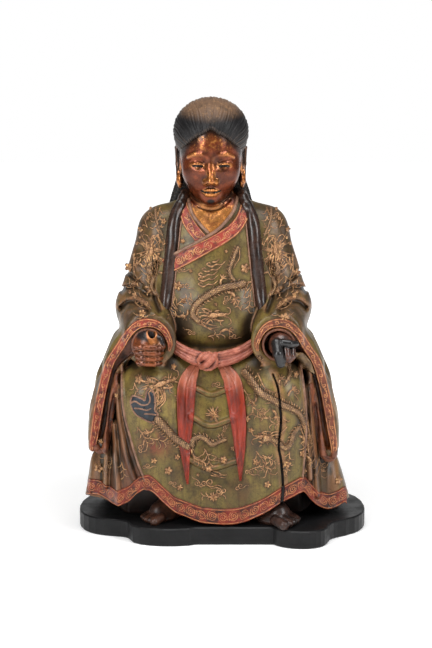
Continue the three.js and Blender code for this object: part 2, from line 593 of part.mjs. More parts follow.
function surfaceOf(field, low, high, step) {
  const count = [0, 1, 2].map((k) => Math.ceil((high[k] - low[k]) / step) + 1);
  const stride = [1, count[0], count[0] * count[1]];
  const value = new Float64Array(stride[2] * count[2]);
  for (let n = 0; n < value.length; n += 1) {
    const index = [n % count[0], Math.floor(n / stride[1]) % count[1], Math.floor(n / stride[2])];
    const edge = index.some((i, k) => i === 0 || i === count[k] - 1);
    const d = field(...index.map((i, k) => low[k] + i * step));
    value[n] = edge ? Math.max(d, step * 0.1) : d || 1e-9;
  }
  const place = (n, k) => low[k] + (Math.floor(n / stride[k]) % count[k]) * step;
  const positions = [];
  const triangles = [];
  const made = new Map();
  const corner = (a, b) => {
    const key = a < b ? a * value.length + b : b * value.length + a;
    if (!made.has(key)) {
      const t = clamp(value[a] / (value[a] - value[b]), 0.02, 0.98);
      positions.push([0, 1, 2].map((k) => mix(place(a, k), place(b, k), t)));
      made.set(key, positions.length - 1);
    }
    return made.get(key);
  };
  const far = stride[0] + stride[1] + stride[2];
  for (let n = 0; n + far < value.length; n += 1) {
    if (n % count[0] === count[0] - 1 || Math.floor(n / stride[1]) % count[1] === count[1] - 1) continue;
    const outside = CELL_CORNERS.filter((c) => value[n + c[0] + c[1] * stride[1] + c[2] * stride[2]] > 0);
    if (outside.length % CELL_CORNERS.length === 0) continue;
    CELL_PATHS.forEach(([a, b], odd) => {
      const tet = [n, n + stride[a], n + stride[a] + stride[b], n + far];
      if (odd > 2) [tet[2], tet[3]] = [tet[3], tet[2]];
      const inside = tet.map((node) => value[node] < 0);
      const many = inside.filter(Boolean).length;
      if (many === 1 || many === 3) {
        const order = ONE.find(([i]) => inside[i] === (many === 1));
        const [p, q, r, s] = order.map((i) => tet[i]);
        const face = [corner(p, q), corner(p, r), corner(p, s)];
        triangles.push(many === 1 ? face : face.reverse());
      } else if (many === 2) {
        const order = TWO.find(([i, j]) => inside[i] && inside[j]);
        const [p, q, r, s] = order.map((i) => tet[i]);
        const quad = [corner(p, r), corner(p, s), corner(q, s), corner(q, r)];
        triangles.push([quad[0], quad[1], quad[2]], [quad[0], quad[2], quad[3]]);
      }
    });
  }
  return { positions, triangles };
}

// Error quadrics: the sum of squared distances to the planes round a point, as ten numbers
const QUADRIC = [[0, 0], [0, 1], [0, 2], [0, 3], [1, 1], [1, 2], [1, 3], [2, 2], [2, 3], [3, 3]];
const planeQuadric = (plane, weight) => QUADRIC.map(([i, j]) => plane[i] * plane[j] * weight);
const quadricError = (q, [x, y, z]) =>
  x * (q[0] * x + 2 * (q[1] * y + q[2] * z + q[3])) +
  y * (q[4] * y + 2 * (q[5] * z + q[6])) + z * (q[7] * z + 2 * q[8]) + q[9];

const SMALLEST_FACE = 1e-3;
const LEAST_TURN = 0.3; // cosine of the most that a face may turn as an edge is joined

function bestPoint(q, a, b) {
  const middle = a.map((v, k) => (v + b[k]) / 2);
  const m = new THREE.Matrix3().set(q[0], q[1], q[2], q[1], q[4], q[5], q[2], q[5], q[7]);
  const soft = 1e-3 * (q[0] + q[4] + q[7]) + 1e-9;
  [0, 4, 8].forEach((k) => (m.elements[k] += soft));
  const right = new THREE.Vector3(...middle).multiplyScalar(soft).sub(new THREE.Vector3(q[3], q[6], q[8]));
  const found = right.applyMatrix3(m.invert()).toArray();
  const reach = 2 * Math.hypot(...a.map((v, k) => v - b[k]));
  const moved = Math.hypot(...found.map((v, k) => v - middle[k]));
  return found.every(Number.isFinite) && moved < reach ? found : middle;
}

// Joins the ends of the cheapest edges until a closed mesh has no more triangles than asked for
function thin({ positions, triangles }, goal) {
  const points = positions.map((p) => [...p]);
  const faces = triangles.map((t) => [...t]);
  const round = points.map(() => new Set());
  const quadrics = points.map(() => new Float64Array(10));
  const version = new Uint32Array(points.length);
  const side = (p, q) => q.map((v, k) => v - p[k]);
  const cross = (u, v) => [u[1] * v[2] - u[2] * v[1], u[2] * v[0] - u[0] * v[2], u[0] * v[1] - u[1] * v[0]];
  const dot = (u, v) => u[0] * v[0] + u[1] * v[1] + u[2] * v[2];
  faces.forEach((face, f) => {
    const [a, b, c] = face.map((i) => points[i]);
    const normal = cross(side(a, b), side(a, c));
    const area = Math.hypot(...normal) || 1e-12;
    const unit = normal.map((v) => v / area);
    const own = planeQuadric([...unit, -dot(unit, a)], area);
    face.forEach((i) => {
      round[i].add(f);
      own.forEach((v, k) => (quadrics[i][k] += v));
    });
  });
  const heap = [];
  const push = (item) => {
    let i = heap.push(item) - 1;
    while (i > 0) {
      const up = (i - 1) >> 1;
      if (heap[up].cost <= item.cost) break;
      heap[i] = heap[up];
      i = up;
    }
    heap[i] = item;
  };
  const pop = () => {
    const top = heap[0];
    const last = heap.pop();
    if (heap.length) {
      let i = 0;
      for (;;) {
        let down = 2 * i + 1;
        if (down >= heap.length) break;
        if (down + 1 < heap.length && heap[down + 1].cost < heap[down].cost) down += 1;
        if (heap[down].cost >= last.cost) break;
        heap[i] = heap[down];
        i = down;
      }
      heap[i] = last;
    }
    return top;
  };
  const weigh = (a, b) => {
    const q = quadrics[a].map((v, k) => v + quadrics[b][k]);
    const point = bestPoint(q, points[a], points[b]);
    push({ cost: quadricError(q, point), a, b, q, point, stamp: version[a] + version[b] });
  };
  const around = (a) => new Set([...round[a]].flatMap((f) => faces[f]).filter((i) => i !== a));
  const folds = (a, b, point) =>
    [...round[a]].some((f) => {
      if (faces[f].includes(b)) return false;
      const old = faces[f].map((i) => points[i]);
      const now = faces[f].map((i) => (i === a ? point : points[i]));
      const before = cross(side(old[0], old[1]), side(old[0], old[2]));
      const after = cross(side(now[0], now[1]), side(now[0], now[2]));
      const [size, newSize] = [Math.hypot(...before), Math.hypot(...after)];
      return newSize < SMALLEST_FACE || dot(before, after) < LEAST_TURN * size * newSize;
    });
  faces.forEach(([a, b, c]) => [[a, b], [b, c], [c, a]].forEach(([i, j]) => i < j && weigh(i, j)));
  let alive = faces.length;
  while (alive > goal && heap.length) {
    const { a, b, q, point, stamp } = pop();
    if (!round[a].size || !round[b].size || stamp !== version[a] + version[b]) continue;
    const near = around(b);
    const common = [...around(a)].filter((i) => near.has(i));
    if (common.length !== 2 || folds(a, b, point) || folds(b, a, point)) continue;
    points[a] = point;
    quadrics[a] = q;
    for (const f of round[b]) {
      if (faces[f].includes(a)) {
        faces[f].forEach((i) => round[i].delete(f));
        faces[f] = null;
        alive -= 1;
      } else {
        faces[f] = faces[f].map((i) => (i === b ? a : i));
        round[a].add(f);
      }
    }
    round[b].clear();
    version[a] += 1;
    version[b] += 1;
    around(a).forEach((i) => weigh(a, i));
  }
  return { positions: points, triangles: faces.filter(Boolean) };
}

const wasm = await Module();
wasm.setup();

const tripleProduct = ([ax, ay, az], [bx, by, bz], [cx, cy, cz]) =>
  ax * (by * cz - bz * cy) + ay * (bz * cx - bx * cz) + az * (bx * cy - by * cx);

// A closed mesh as a solid that can be joined and cut, with its faces turned outwards.
// Points within a hair of the base are set on it.
function solidOf({ positions, triangles }) {
  const volume = triangles.reduce((sum, t) => sum + tripleProduct(...t.map((i) => positions[i])), 0);
  const outward = volume < 0 ? triangles.map(([a, b, c]) => [a, c, b]) : triangles;
  const used = new Map();
  const vertices = [];
  const corners = outward.flat().map((i) => {
    if (!used.has(i)) {
      used.set(i, used.size);
      vertices.push(...positions[i].map((v, k) => (k === 2 && Math.abs(v) < 0.05 ? 0 : v)));
    }
    return used.get(i);
  });
  return new wasm.Manifold(new wasm.Mesh({
    numProp: 3,
    vertProperties: new Float32Array(vertices),
    triVerts: new Uint32Array(corners),
  }));
}

function geometryOf(solid) {
  const mesh = solid.getMesh();
  const geometry = new THREE.BufferGeometry();
  geometry.setAttribute("position", new THREE.BufferAttribute(mesh.vertProperties, 3));
  geometry.setIndex(new THREE.BufferAttribute(mesh.triVerts, 1));
  geometry.computeVertexNormals();
  return geometry;
}

// Each part of the carving: its field, the box that holds it, the grid step and the triangles it may keep
const BODY = { field: robe, low: [-246, -136, -8], high: [252, 132, 522], step: 4.8, keep: 4600 };
const MEMBERS = [
  { field: head, low: [-92, -78, 380], high: [84, 108, 668], step: 2.8, keep: 2600 },
  { field: leftHand, low: [-138, -136, 242], high: [-60, -56, 318], step: 2.1, keep: 800 },
  { field: rightHand, low: [64, -138, 242], high: [138, -56, 316], step: 2.1, keep: 700 },
  { field: leftFoot, low: [-142, -128, -4], high: [-20, -4, 96], step: 2.8, keep: 360 },
  { field: rightFoot, low: [18, -164, -4], high: [158, -8, 116], step: 3.1, keep: 400 },
  { field: sash, low: [-96, -104, 232], high: [96, -24, 312], step: 2.2, keep: 700 },
];
const KEPT_IN_ALL = 9250;

const carved = ({ field, low, high, step, keep }) => solidOf(thin(surfaceOf(field, low, high, step), keep));

function meshOf(solid) {
  const { vertProperties, triVerts } = solid.getMesh();
  const threes = (list) => Array.from({ length: list.length / 3 }, (unused, i) => 3 * i);
  const rows = (list) => threes(list).map((i) => [...list.slice(i, i + 3)]);
  return { positions: rows(vertProperties), triangles: rows(triVerts) };
}

// The figure is joined from its parts, then freed of the small facets left along the joins
function carvedFigure() {
  const below = solidOf(between(
    [[[-300, -200, -20], [300, -200, -20]], [[-300, 200, -20], [300, 200, -20]]],
    [[[-300, -200, 0], [300, -200, 0]], [[-300, 200, 0], [300, 200, 0]]],
  ));
  const cuts = [underHem(), ...SIDES.map(sleeveMouth)].map(solidOf);
  const dress = [carved(BODY), ...reliefs().map(solidOf)].reduce((all, part) => all.add(part));
  const open = cuts.reduce((all, part) => all.subtract(part), dress);
  const whole = MEMBERS.map(carved).reduce((all, part) => all.add(part), open);
  const cracked = whole.subtract(solidOf(laidCord(CRACK, CRACK_RADIUS, 0.4, 4, 16)));
  return solidOf(thin(meshOf(cracked), KEPT_IN_ALL)).subtract(below);
}

// Plinth: a board with lobed corners, bowed at the front, drawn from above
function plinthShape() {
  const { halfWidth, halfDepth, front: f, bevel } = PLINTH;
  const [w, d] = [halfWidth - bevel, halfDepth - bevel];
  const shape = new THREE.Shape();
  shape.moveTo(-w, 10);
  shape.bezierCurveTo(-w, -34, -w + 12, -62, -w + 44, -74);
  shape.bezierCurveTo(-w + 64, -82, -w + 82, -78, -w + 86, -100);
  shape.bezierCurveTo(-w + 90, -f - 6, -w + 138, -f - 16, -52, -f - 6);
  shape.quadraticCurveTo(-44, -f, -38, -f);
  shape.lineTo(80, -f);
  shape.bezierCurveTo(90, -f - 16, 106, -d, 124, -d);
  shape.bezierCurveTo(146, -d, 160, -136, 164, -112);
  shape.bezierCurveTo(170, -84, 190, -84, 200, -70);
  shape.bezierCurveTo(w - 10, -56, w, -30, w, 10);
  shape.bezierCurveTo(w, 72, w - 28, 98, w - 60, 106);
  shape.bezierCurveTo(w - 78, 112, w - 76, d, w - 108, d);
  shape.lineTo(-w + 108, d);
  shape.bezierCurveTo(-w + 76, d, -w + 78, 112, -w + 60, 106);
  shape.bezierCurveTo(-w + 28, 98, -w, 72, -w, 10);
  return shape;
}

function plinthGeometry() {
  const { height, bevel } = PLINTH;
  const geometry = new THREE.ExtrudeGeometry(plinthShape(), {
    depth: height - 2 * bevel,
    curveSegments: PLINTH.chords,
    bevelEnabled: true,
    bevelThickness: bevel,
    bevelSize: bevel,
    bevelSegments: 1,
  });
  return geometry.translate(0, 0, bevel);
}

const robeLacquer = new THREE.MeshStandardMaterial({ color: 0x59521f, roughness: 0.45, metalness: 0.1 });
const plinthLacquer = new THREE.MeshStandardMaterial({ color: 0x161616, roughness: 0.35, metalness: 0 });

const figure = new THREE.Mesh(geometryOf(carvedFigure()), robeLacquer);
figure.name = "figure";
figure.geometry.scale(...[1, 1, 1].map((k) => (k * FIGURE_HEIGHT) / DRAWN_HEIGHT));
figure.position.set(FIGURE_OFFSET, 0, PLINTH.height);

const plinth = new THREE.Mesh(plinthGeometry(), plinthLacquer);
plinth.name = "plinth";

const carving = new THREE.Group();
carving.name = "seated_figure_on_plinth";
carving.add(plinth, figure);

export default carving;
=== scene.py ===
"""A seated robed deity carved in wood, lacquered and gilt, on its black lobed plinth.

Lengths are millimetres in the figure's own frame: x = 0 on its middle line, -y the front, z = 0 on the
plinth's top. Each part is a signed distance field, negative in the wood, which becomes a fine mesh.
"""
import math

import bpy
import mathutils
import numpy as np
import openvdb
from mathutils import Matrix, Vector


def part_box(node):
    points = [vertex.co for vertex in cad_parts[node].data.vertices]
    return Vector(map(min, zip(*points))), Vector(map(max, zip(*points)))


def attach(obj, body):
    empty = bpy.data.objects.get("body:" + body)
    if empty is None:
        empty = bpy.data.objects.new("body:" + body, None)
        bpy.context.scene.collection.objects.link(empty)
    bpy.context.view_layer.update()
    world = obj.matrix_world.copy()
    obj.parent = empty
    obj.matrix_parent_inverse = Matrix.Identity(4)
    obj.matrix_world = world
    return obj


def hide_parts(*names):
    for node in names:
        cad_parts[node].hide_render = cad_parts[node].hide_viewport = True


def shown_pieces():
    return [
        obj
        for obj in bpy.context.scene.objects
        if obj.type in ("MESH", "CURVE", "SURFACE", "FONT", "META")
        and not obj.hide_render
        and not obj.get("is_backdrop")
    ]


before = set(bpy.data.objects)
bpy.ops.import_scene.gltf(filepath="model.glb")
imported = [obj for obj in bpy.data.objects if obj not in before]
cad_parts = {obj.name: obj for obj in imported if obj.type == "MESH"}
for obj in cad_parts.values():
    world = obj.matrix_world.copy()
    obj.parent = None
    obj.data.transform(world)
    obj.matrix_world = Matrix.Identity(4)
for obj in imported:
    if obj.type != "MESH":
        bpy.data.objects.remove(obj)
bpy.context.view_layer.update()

PLINTH_WIDTH = 464
plinth_low, plinth_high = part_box("plinth")
MM = (plinth_high[0] - plinth_low[0]) / PLINTH_WIDTH
ORIGIN = np.array([-14, 0, plinth_high[2] / MM])
COARSE = 1.0

# Small helpers


def join(a, b, k):
    h = np.maximum(k - np.abs(a - b), 0)
    return np.minimum(a, b) - h * h / (4 * k)


def meet(a, b, k):
    return -join(-a, -b, k)


def cut(a, b, k):
    return meet(a, -b, k)


def smooth(low, high, v):
    t = np.clip((v - low) / (high - low), 0, 1)
    return t * t * (3 - 2 * t)


def mix(a, b, t):
    return a + (b - a) * t


def bump(v, width):
    """1 at v = 0, falling smoothly to 0 at width"""
    return 1 - smooth(0, width, np.abs(v))


def ripple(points, size, seed, waves=7):
    """Gentle unevenness between about -1 and 1, with swells of that size"""
    rng = np.random.default_rng(seed)
    total = 0
    for _ in range(waves):
        way = rng.normal(size=len(points))
        way *= 2 * math.pi / (size * np.linalg.norm(way)) * rng.uniform(0.7, 1.4)
        phase = rng.uniform(0, 2 * math.pi)
        total = total + np.sin(sum(w * p for w, p in zip(way, points)) + phase)
    return total / math.sqrt(waves)


def steady(y, rounds=2):
    for _ in range(rounds):
        y = (np.concatenate([y[:1], y[:-1]]) + y + np.concatenate([y[1:], y[-1:]])) / 3
    return y


def ellipsoid(centre, radii):
    def field(x, y, z):
        u, v, w = ((p - c) / r for p, c, r in zip((x, y, z), centre, radii))
        size = np.sqrt(u * u + v * v + w * w) + 1e-9
        slope = np.sqrt((u / radii[0]) ** 2 + (v / radii[1]) ** 2 + (w / radii[2]) ** 2) + 1e-9
        return size * (size - 1) / slope
    return field


def limb(a, b, ra, rb):
    a, b = np.array(a, float), np.array(b, float)
    way = b - a
    length2 = way @ way

    def field(x, y, z):
        t = np.clip(((x - a[0]) * way[0] + (y - a[1]) * way[1] + (z - a[2]) * way[2]) / length2, 0, 1)
        gap = np.sqrt((x - a[0] - way[0] * t) ** 2 + (y - a[1] - way[1] * t) ** 2 + (z - a[2] - way[2] * t) ** 2)
        return gap - mix(ra, rb, t)
    return field


def nearest(parts, x, y, z, k):
    total = parts[0](x, y, z)
    for part in parts[1:]:
        total = join(total, part(x, y, z), k)
    return total


def cord(points, radii, k=2.0):
    parts = [limb(points[i - 1], points[i], radii[i - 1], radii[i]) for i in range(1, len(points))]
    return lambda x, y, z: nearest(parts, x, y, z, k)


def curve(points, steps=24):
    """A smooth line through a few points, evenly stepped between them"""
    points = np.array(points, float)
    ends = [2 * points[0] - points[1]], [2 * points[-1] - points[-2]]
    knots = np.concatenate([ends[0], points, ends[1]])
    at = np.linspace(0, len(points) - 1, steps + 1)
    i = np.minimum(at.astype(int), len(points) - 2)
    t = (at - i)[:, None]
    p0, p1, p2, p3 = (knots[i + k] for k in range(4))
    v1, v2 = 0.5 * (p2 - p0), 0.5 * (p3 - p1)
    return ((2 * p1 - 2 * p2 + v1 + v2) * t ** 3 + (-3 * p1 + 3 * p2 - 2 * v1 - v2) * t ** 2 + v1 * t + p1)


def flip(points):
    return [(-p[0], *p[1:]) for p in points]


def stroke(points, widths, reach=14.0):
    """Distance in the x-z plane to a line of points, less a half width that may change along it"""
    points = np.array(points, float)
    widths = np.interp(np.linspace(0, 1, len(points)), np.linspace(0, 1, np.size(widths)), np.atleast_1d(widths))
    low, high = points.min(0) - widths.max() - reach, points.max(0) + widths.max() + reach

    def distance(x, z):
        out = np.full(x.shape, reach)
        near = (x > low[0]) & (x < high[0]) & (z > low[1]) & (z < high[1])
        px, pz = x[near], z[near]
        best = np.full(px.shape, reach)
        for i in range(1, len(points)):
            (ax, az), (dx, dz) = points[i - 1], points[i] - points[i - 1]
            t = np.clip(((px - ax) * dx + (pz - az) * dz) / (dx * dx + dz * dz + 1e-9), 0, 1)
            gap = np.hypot(px - ax - dx * t, pz - az - dz * t) - mix(widths[i - 1], widths[i], t)
            best = np.minimum(best, gap)
        out[near] = best
        return out
    return distance


class Chart:
    """A height or distance worked out once on a grid in x and z, and read back smoothly"""
    LOW, HIGH = np.array([-250.0, -16.0]), np.array([256.0, 530.0])

    def __init__(self, rule, step=0.8):
        self.step = step
        size = ((self.HIGH - self.LOW) / step).astype(int) + 1
        xs = self.LOW[0] + np.arange(size[0]) * step
        zs = self.LOW[1] + np.arange(size[1]) * step
        x, z = np.meshgrid(xs, zs, indexing="ij")
        self.values = rule(x, z).astype(np.float32)

    def __call__(self, x, z):
        u = np.clip((x - self.LOW[0]) / self.step, 0, self.values.shape[0] - 1.001)
        v = np.clip((z - self.LOW[1]) / self.step, 0, self.values.shape[1] - 1.001)
        i, j = u.astype(int), v.astype(int)
        s, t = u - i, v - j
        a = mix(self.values[i, j], self.values[i + 1, j], s)
        b = mix(self.values[i, j + 1], self.values[i + 1, j + 1], s)
        return mix(a, b, t)


# Places on the figure. Paired limbs are given on the side where x is positive.
HIP, KNEE, ANKLE = (45, 12, 232), (97, -68, 196), (104, -56, 36)
SHOULDER, ELBOW, CUFF = (79, 15, 449), (111, 4, 328), (97, -94, 284)
CUFF_FACE = -89
SLEEVE = dict(front=-68, back=38, thick=17, inner=4.5, top=292, left=98, right=86, round=13)
HEAD_CENTRE, HEAD_TILT = (-4, 2, 575), math.radians(6)
FOOT_LENGTH = 62

LAPEL = [(47, 502), (61, 468), (66, 420), (71, 374), (76, 334)]
LAPEL_WIDTHS = [9, 10, 9.5, 9, 7]
COLLAR_OVER = [(52, 497), (47, 478), (36, 460), (19, 447), (-4, 434), (-31, 420), (-59, 405), (-76, 397)]
COLLAR_OVER_WIDTHS = [8, 9, 9.5, 10, 10.5, 11.5, 12, 12]
COLLAR_UNDER = [(-50, 500), (-45, 481), (-38, 465), (-26, 449), (-14, 436)]
COLLAR_UNDER_WIDTHS = [7, 8.5, 9.5, 9.5, 9]
NECKLINE = [(-42, 512), (-34, 481), (-21, 464), (-7, 449), (7, 457), (21, 470), (32, 485), (40, 512)]
NECK_DEPTH = 5
RIBBONS = [
    [(-24, 250), (-34, 235), (-41, 217), (-43, 171), (-44, 124), (-40, 66)],
    [(8, 252), (22, 235), (31, 217), (38, 171), (41, 124), (42, 71)],
]
RIBBON_WIDTHS = [5, 11, 14.5, 13, 9, 1.5]
MOUTH = [(119, 284), (145, 256), (157.5, 232), (167.5, 190), (174, 145), (182, 112)]
MOUTH_WIDTHS = [13, 6, 3, 3, 3.6, 4]
MOUTH_DEPTH = (-36, -60)
OUTER_LIP = [
    (69, 272), (67, 283), (71, 295), (77, 305), (87, 313), (100, 316), (113, 314), (124, 307), (135, 294), (148, 272), (162, 249),
    (172, 216), (180, 178), (186, 142), (190, 116), (189, 105),
]
OUTER_LIP_WIDTHS = [2.5, 4.5, 5.5, 6, 6.5, 7, 7, 6.5, 6.5, 7, 7.5, 7.5, 7.5, 7, 6, 4]
HEM = [
    (-240, 34), (-215, 36), (-200, 36), (-185, 33), (-167, 30), (-150, 29), (-133, 36), (-118, 51), (-104, 58),
    (-93, 54), (-80, 41), (-62, 24), (-45, 16), (-20, 7), (5, 4), (32, 4), (55, 10), (80, 22), (105, 38),
    (124, 47), (140, 52), (152, 40), (167, 23), (182, 13), (199, 18), (215, 28), (245, 36),
]
HEM_BORDER = 24
HEM_CUT = dict(front=-180, middle=-44, side=90, lift=0.6)
PANEL_LEFT = [(-143, 245), (-141, 210), (-137, 173), (-128, 137), (-117, 100), (-106, 72)]
PANEL_RIGHT = [(136, 245), (142, 193), (144, 146), (139, 72)]
PANEL_STEP = 7
SWAGS = [
    [(-24, 212), (-4, 203), (17, 209)],
    [(-35, 171), (-6, 156), (29, 166)],
    [(-38, 105), (-6, 91), (34, 101)],
]
SIDE_FOLDS = [
    [(-151, 227), (-149, 172), (-138, 117), (-124, 74)],
    [(-158, 150), (-154, 106), (-150, 60), (-149, 30)],
    [(-172, 140), (-170, 100), (-172, 50)],
    [(150, 232), (155, 170), (160, 108), (165, 40)],
    [(147, 150), (150, 110), (152, 70)],
]
ELBOW_FOLDS = [
    [(146, 354), (135, 362), (118, 362), (102, 352)],
    [(146, 330), (134, 340), (117, 341), (103, 332)],
    [(140, 384), (128, 378), (112, 366)],
    [(88, 402), (96, 376), (94, 352), (84, 330)],
]
CRACK = [(92, 238), (99, 219), (102, 196), (104, 164), (101, 128), (105, 102), (108, 64), (106, 34)]

# Cloth relief, seen from the front
hem_line = curve(HEM, 192)


def hem_height(x):
    return np.interp(x, hem_line[:, 0], hem_line[:, 1])


def hem_cut(x):
    """Heights of the cut under the hem at its front and back, and how far back it goes"""
    sideways = smooth(135, 190, np.abs(x))
    height = hem_height(x)
    return (height * (1 + HEM_CUT["lift"] * sideways), height * (1 - sideways),
            mix(HEM_CUT["middle"], HEM_CUT["side"], sideways))


def hem_edge(x):
    """Where the cut meets the front of the skirts"""
    front, back, depth = hem_cut(x)
    face = -118 * np.maximum(1 - np.abs(x / 213) ** 2.4, 0) ** (1 / 2.4)
    return mix(front, back, np.clip((face - HEM_CUT["front"]) / (depth - HEM_CUT["front"]), 0, 1))


def bare_neck(x, z, soft=(-1, 2)):
    """1 inside the opening at the neck"""
    xs, zs = np.array(NECKLINE).T
    return smooth(*soft, z - np.interp(x, xs, zs)) * (np.abs(x) < 41)


def beside_panel(x, z):
    """1 where the side folds sit a step behind the edges of the front panel"""
    total = 0
    for line, side in ((PANEL_LEFT, -1), (PANEL_RIGHT, 1)):
        xs, zs = np.array(line)[::-1].T
        away = (np.abs(x) - np.abs(np.interp(z, zs, xs))) * (x * side > 0)
        near = np.abs(stroke(line, 0)(x, z))
        total = total + smooth(-1, 4, np.where(away < 0, -near, near)) * (x * side > 0)
    return total * smooth(250, 225, z) * smooth(200, 178, np.abs(x))


def cloth_height(x, z):
    height = -NECK_DEPTH * bare_neck(x, z)
    for line in SWAGS:
        fold = stroke(curve(line), 1.2)(x, z)
        above = bump(stroke(curve([(px, pz + 8) for px, pz in line]), 0)(x, z), 7)
        height = np.maximum(height, 6.6 * smooth(6, 0, fold)) - 3 * above
    for line in SIDE_FOLDS:
        height = np.maximum(height, 6 * smooth(7, 0, stroke(curve(line), 0.8)(x, z)))
    for line in (PANEL_LEFT, PANEL_RIGHT):
        height = np.maximum(height, 2.2 * smooth(3.5, 0, stroke(curve(line), 1.4)(x, z)))
    for line in [*ELBOW_FOLDS, *map(flip, ELBOW_FOLDS)]:
        height = height - 6.5 * smooth(5.5, 0, stroke(curve(line), 0.6)(x, z))
    return height - PANEL_STEP * beside_panel(x, z)


cloth = Chart(cloth_height)
slot_gap = Chart(lambda x, z: stroke(curve(MOUTH, 40), MOUTH_WIDTHS)(np.abs(x), z))
crack_gap = Chart(lambda x, z: stroke(curve(CRACK, 60), [0.9, 1.3, 1.6, 1.7, 1.5, 1.6, 1.5, 1.3])(x, z))

# The robe


def bell(x, y, z):
    low = smooth(190, 20, z)
    out = x - 6 * smooth(130, 0, z)
    turn = np.arctan2(y + 10, np.abs(out))
    fold = smooth(-0.75, -0.45, turn) * low * 4.5 * np.cos(turn * 13 + 0.8 * np.sin(z / 40))
    wide = 213 - 0.15 * z - 0.0006 * z * z + fold
    deep = fold + np.where(y < 0, 118 - 0.08 * z - 0.00045 * z * z, 112 - 0.06 * z - 0.00025 * z * z)
    size = (np.abs(out / wide) ** 2.4 + np.abs(y / deep) ** 2.4) ** (1 / 2.4)
    return (size - 1) * np.minimum(np.hypot(out, y) / (size + 1e-6), 150) * 0.9


thigh = limb(HIP, KNEE, 50, 50)
shin = limb(KNEE, ANKLE, 50, 57)
chest = ellipsoid((0, 12, 402), (96, 58, 100))
belly = ellipsoid((0, -8, 316), (84, 60, 64))
spine = ellipsoid((0, 22, 360), (108, 60, 135))
yoke = limb((24, 10, 476), SHOULDER, 31, 39)
mantle = limb((62, 30, 430), (112, 26, 120), 50, 74)
upper_arm = limb(SHOULDER, ELBOW, 39, 43)
fore_arm = limb(ELBOW, CUFF, 43, 40)
cuff_hollow = limb((98, -62, 284), (98, -110, 281), 21, 28)


def sleeve_bag(ax, y, z, end):
    middle = 180 - 0.00155 * (z - 120) ** 2
    bottom = end + 0.22 * np.maximum(y - SLEEVE["front"], 0)
    half = (SLEEVE["top"] - bottom) / 2
    r = SLEEVE["round"]
    flare = 2.5 + 2.5 * bump(z - 214, 34)
    u = np.maximum(middle - ax - SLEEVE["inner"], ax - middle - flare) - SLEEVE["thick"]
    u = u - 2 * np.cos((y + 22) / 8.5) + r
    v = np.abs(y - (SLEEVE["front"] + SLEEVE["back"]) / 2) - (SLEEVE["back"] - SLEEVE["front"]) / 2 + r
    w = np.abs(z - bottom - half) - half + r
    outside = np.sqrt(np.maximum(u, 0) ** 2 + np.maximum(v, 0) ** 2 + np.maximum(w, 0) ** 2)
    return outside + np.minimum(np.maximum(np.maximum(u, v), w), 0) - r


def robe_whole(x, y, z):
    """The dressed body before the sleeve mouths and the arches of the hem are cut"""
    ax = np.abs(x)
    d = meet(bell(x, y, z), z - 268, 40)
    d = join(d, thigh(ax, y, z), 26)
    d = join(d, shin(ax, y, z), 30)
    torso = join(chest(x, y, z), belly(x, y, z), 24)
    torso = join(torso, spine(x, y, z), 30)
    torso = join(torso, yoke(ax, y, z), 14)
    torso = join(torso, mantle(ax, y, z), 24)
    d = join(d, torso, mix(12, 40, smooth(0, 50, y)))
    sleeve = join(upper_arm(ax, y, z), fore_arm(ax, y, z), 12)
    sleeve = meet(sleeve, CUFF_FACE - y, 5)
    sleeve = join(sleeve, sleeve_bag(ax, y, z, np.where(x < 0, SLEEVE["left"], SLEEVE["right"])), 22)
    d = join(d, sleeve, 7)
    d = d - cloth(x, z) * smooth(30, 0, y)
    d = d + 0.35 * ripple((x, y, z * 0.6), 34, 5)
    return cut(d, cuff_hollow(ax, y, z), 3)


def under_hem(x, y, z):
    front, back, depth = hem_cut(x)
    along = np.clip((y - HEM_CUT["front"]) / (depth - HEM_CUT["front"]), 0, 1)
    return np.maximum(z - mix(front, back, along), y - depth)


def sleeve_mouth(x, y, z):
    depth = mix(MOUTH_DEPTH[0], MOUTH_DEPTH[1], smooth(200, 280, z))
    return np.maximum(slot_gap(x, z), y - depth)


def march(x, z, start, steps):
    """The first y at which a line from the front meets the cloth"""
    y = start
    for _ in range(steps):
        y = np.minimum(y + np.maximum(robe_whole(x, y, z), 0) * 0.8, 30)
    return y


coarse_front = Chart(lambda x, z: march(x, z, np.full(x.shape, -155.0), 60), 3.0)


def front_of(x, z):
    """Where the cloth's front surface lies"""
    x, z = np.asarray(x, float), np.asarray(z, float)
    return march(x, z, coarse_front(x, z) - 8, 24)


CRACK_DEPTH = 7


def crack(x, y, z):
    return np.maximum(crack_gap(x, z), y - coarse_front(x, z) - CRACK_DEPTH)


def robe(x, y, z):
    d = robe_whole(x, y, z)
    d = cut(d, under_hem(x, y, z), 2)
    d = cut(d, sleeve_mouth(x, y, z), 3)
    d = cut(d, crack(x, y, z), 1)
    return np.maximum(d, -z)


# Head, in its own upright frame about the middle of the skull
skull = ellipsoid((0, 4, 16), (50, 58, 62))
jaw = ellipsoid((0, -8, -28), (43, 46, 53))
cheek = ellipsoid((24, -30, -28), (18, 15, 20))
chin = ellipsoid((0, -31, -69), (15, 14, 13))
neck = cord([(0, 8, -50), (0, 10, -95), (0, 4, -135)], [32, 33, 44], 8)
bridge = limb((0, -47, -5), (0, -59.5, -36), 3.6, 5.6)
nose_tip = ellipsoid((0, -59.5, -38), (6, 6, 5))
nostril = ellipsoid((7, -54, -40), (4.6, 6, 4))
nostril_hole = ellipsoid((5.2, -58.6, -43), (2, 3, 1.5))
brow = cord([(6, -51, 0.5), (14, -51.6, 3.2), (25, -48.4, 3.2), (36, -39.5, -2.5)], [1, 1.4, 1.4, 0.6], 2)
socket = ellipsoid((19.5, -56.5, -11), (13, 8, 7.5))
eyeball = ellipsoid((19.5, -41.5, -13), (11.5, 9, 8.5))
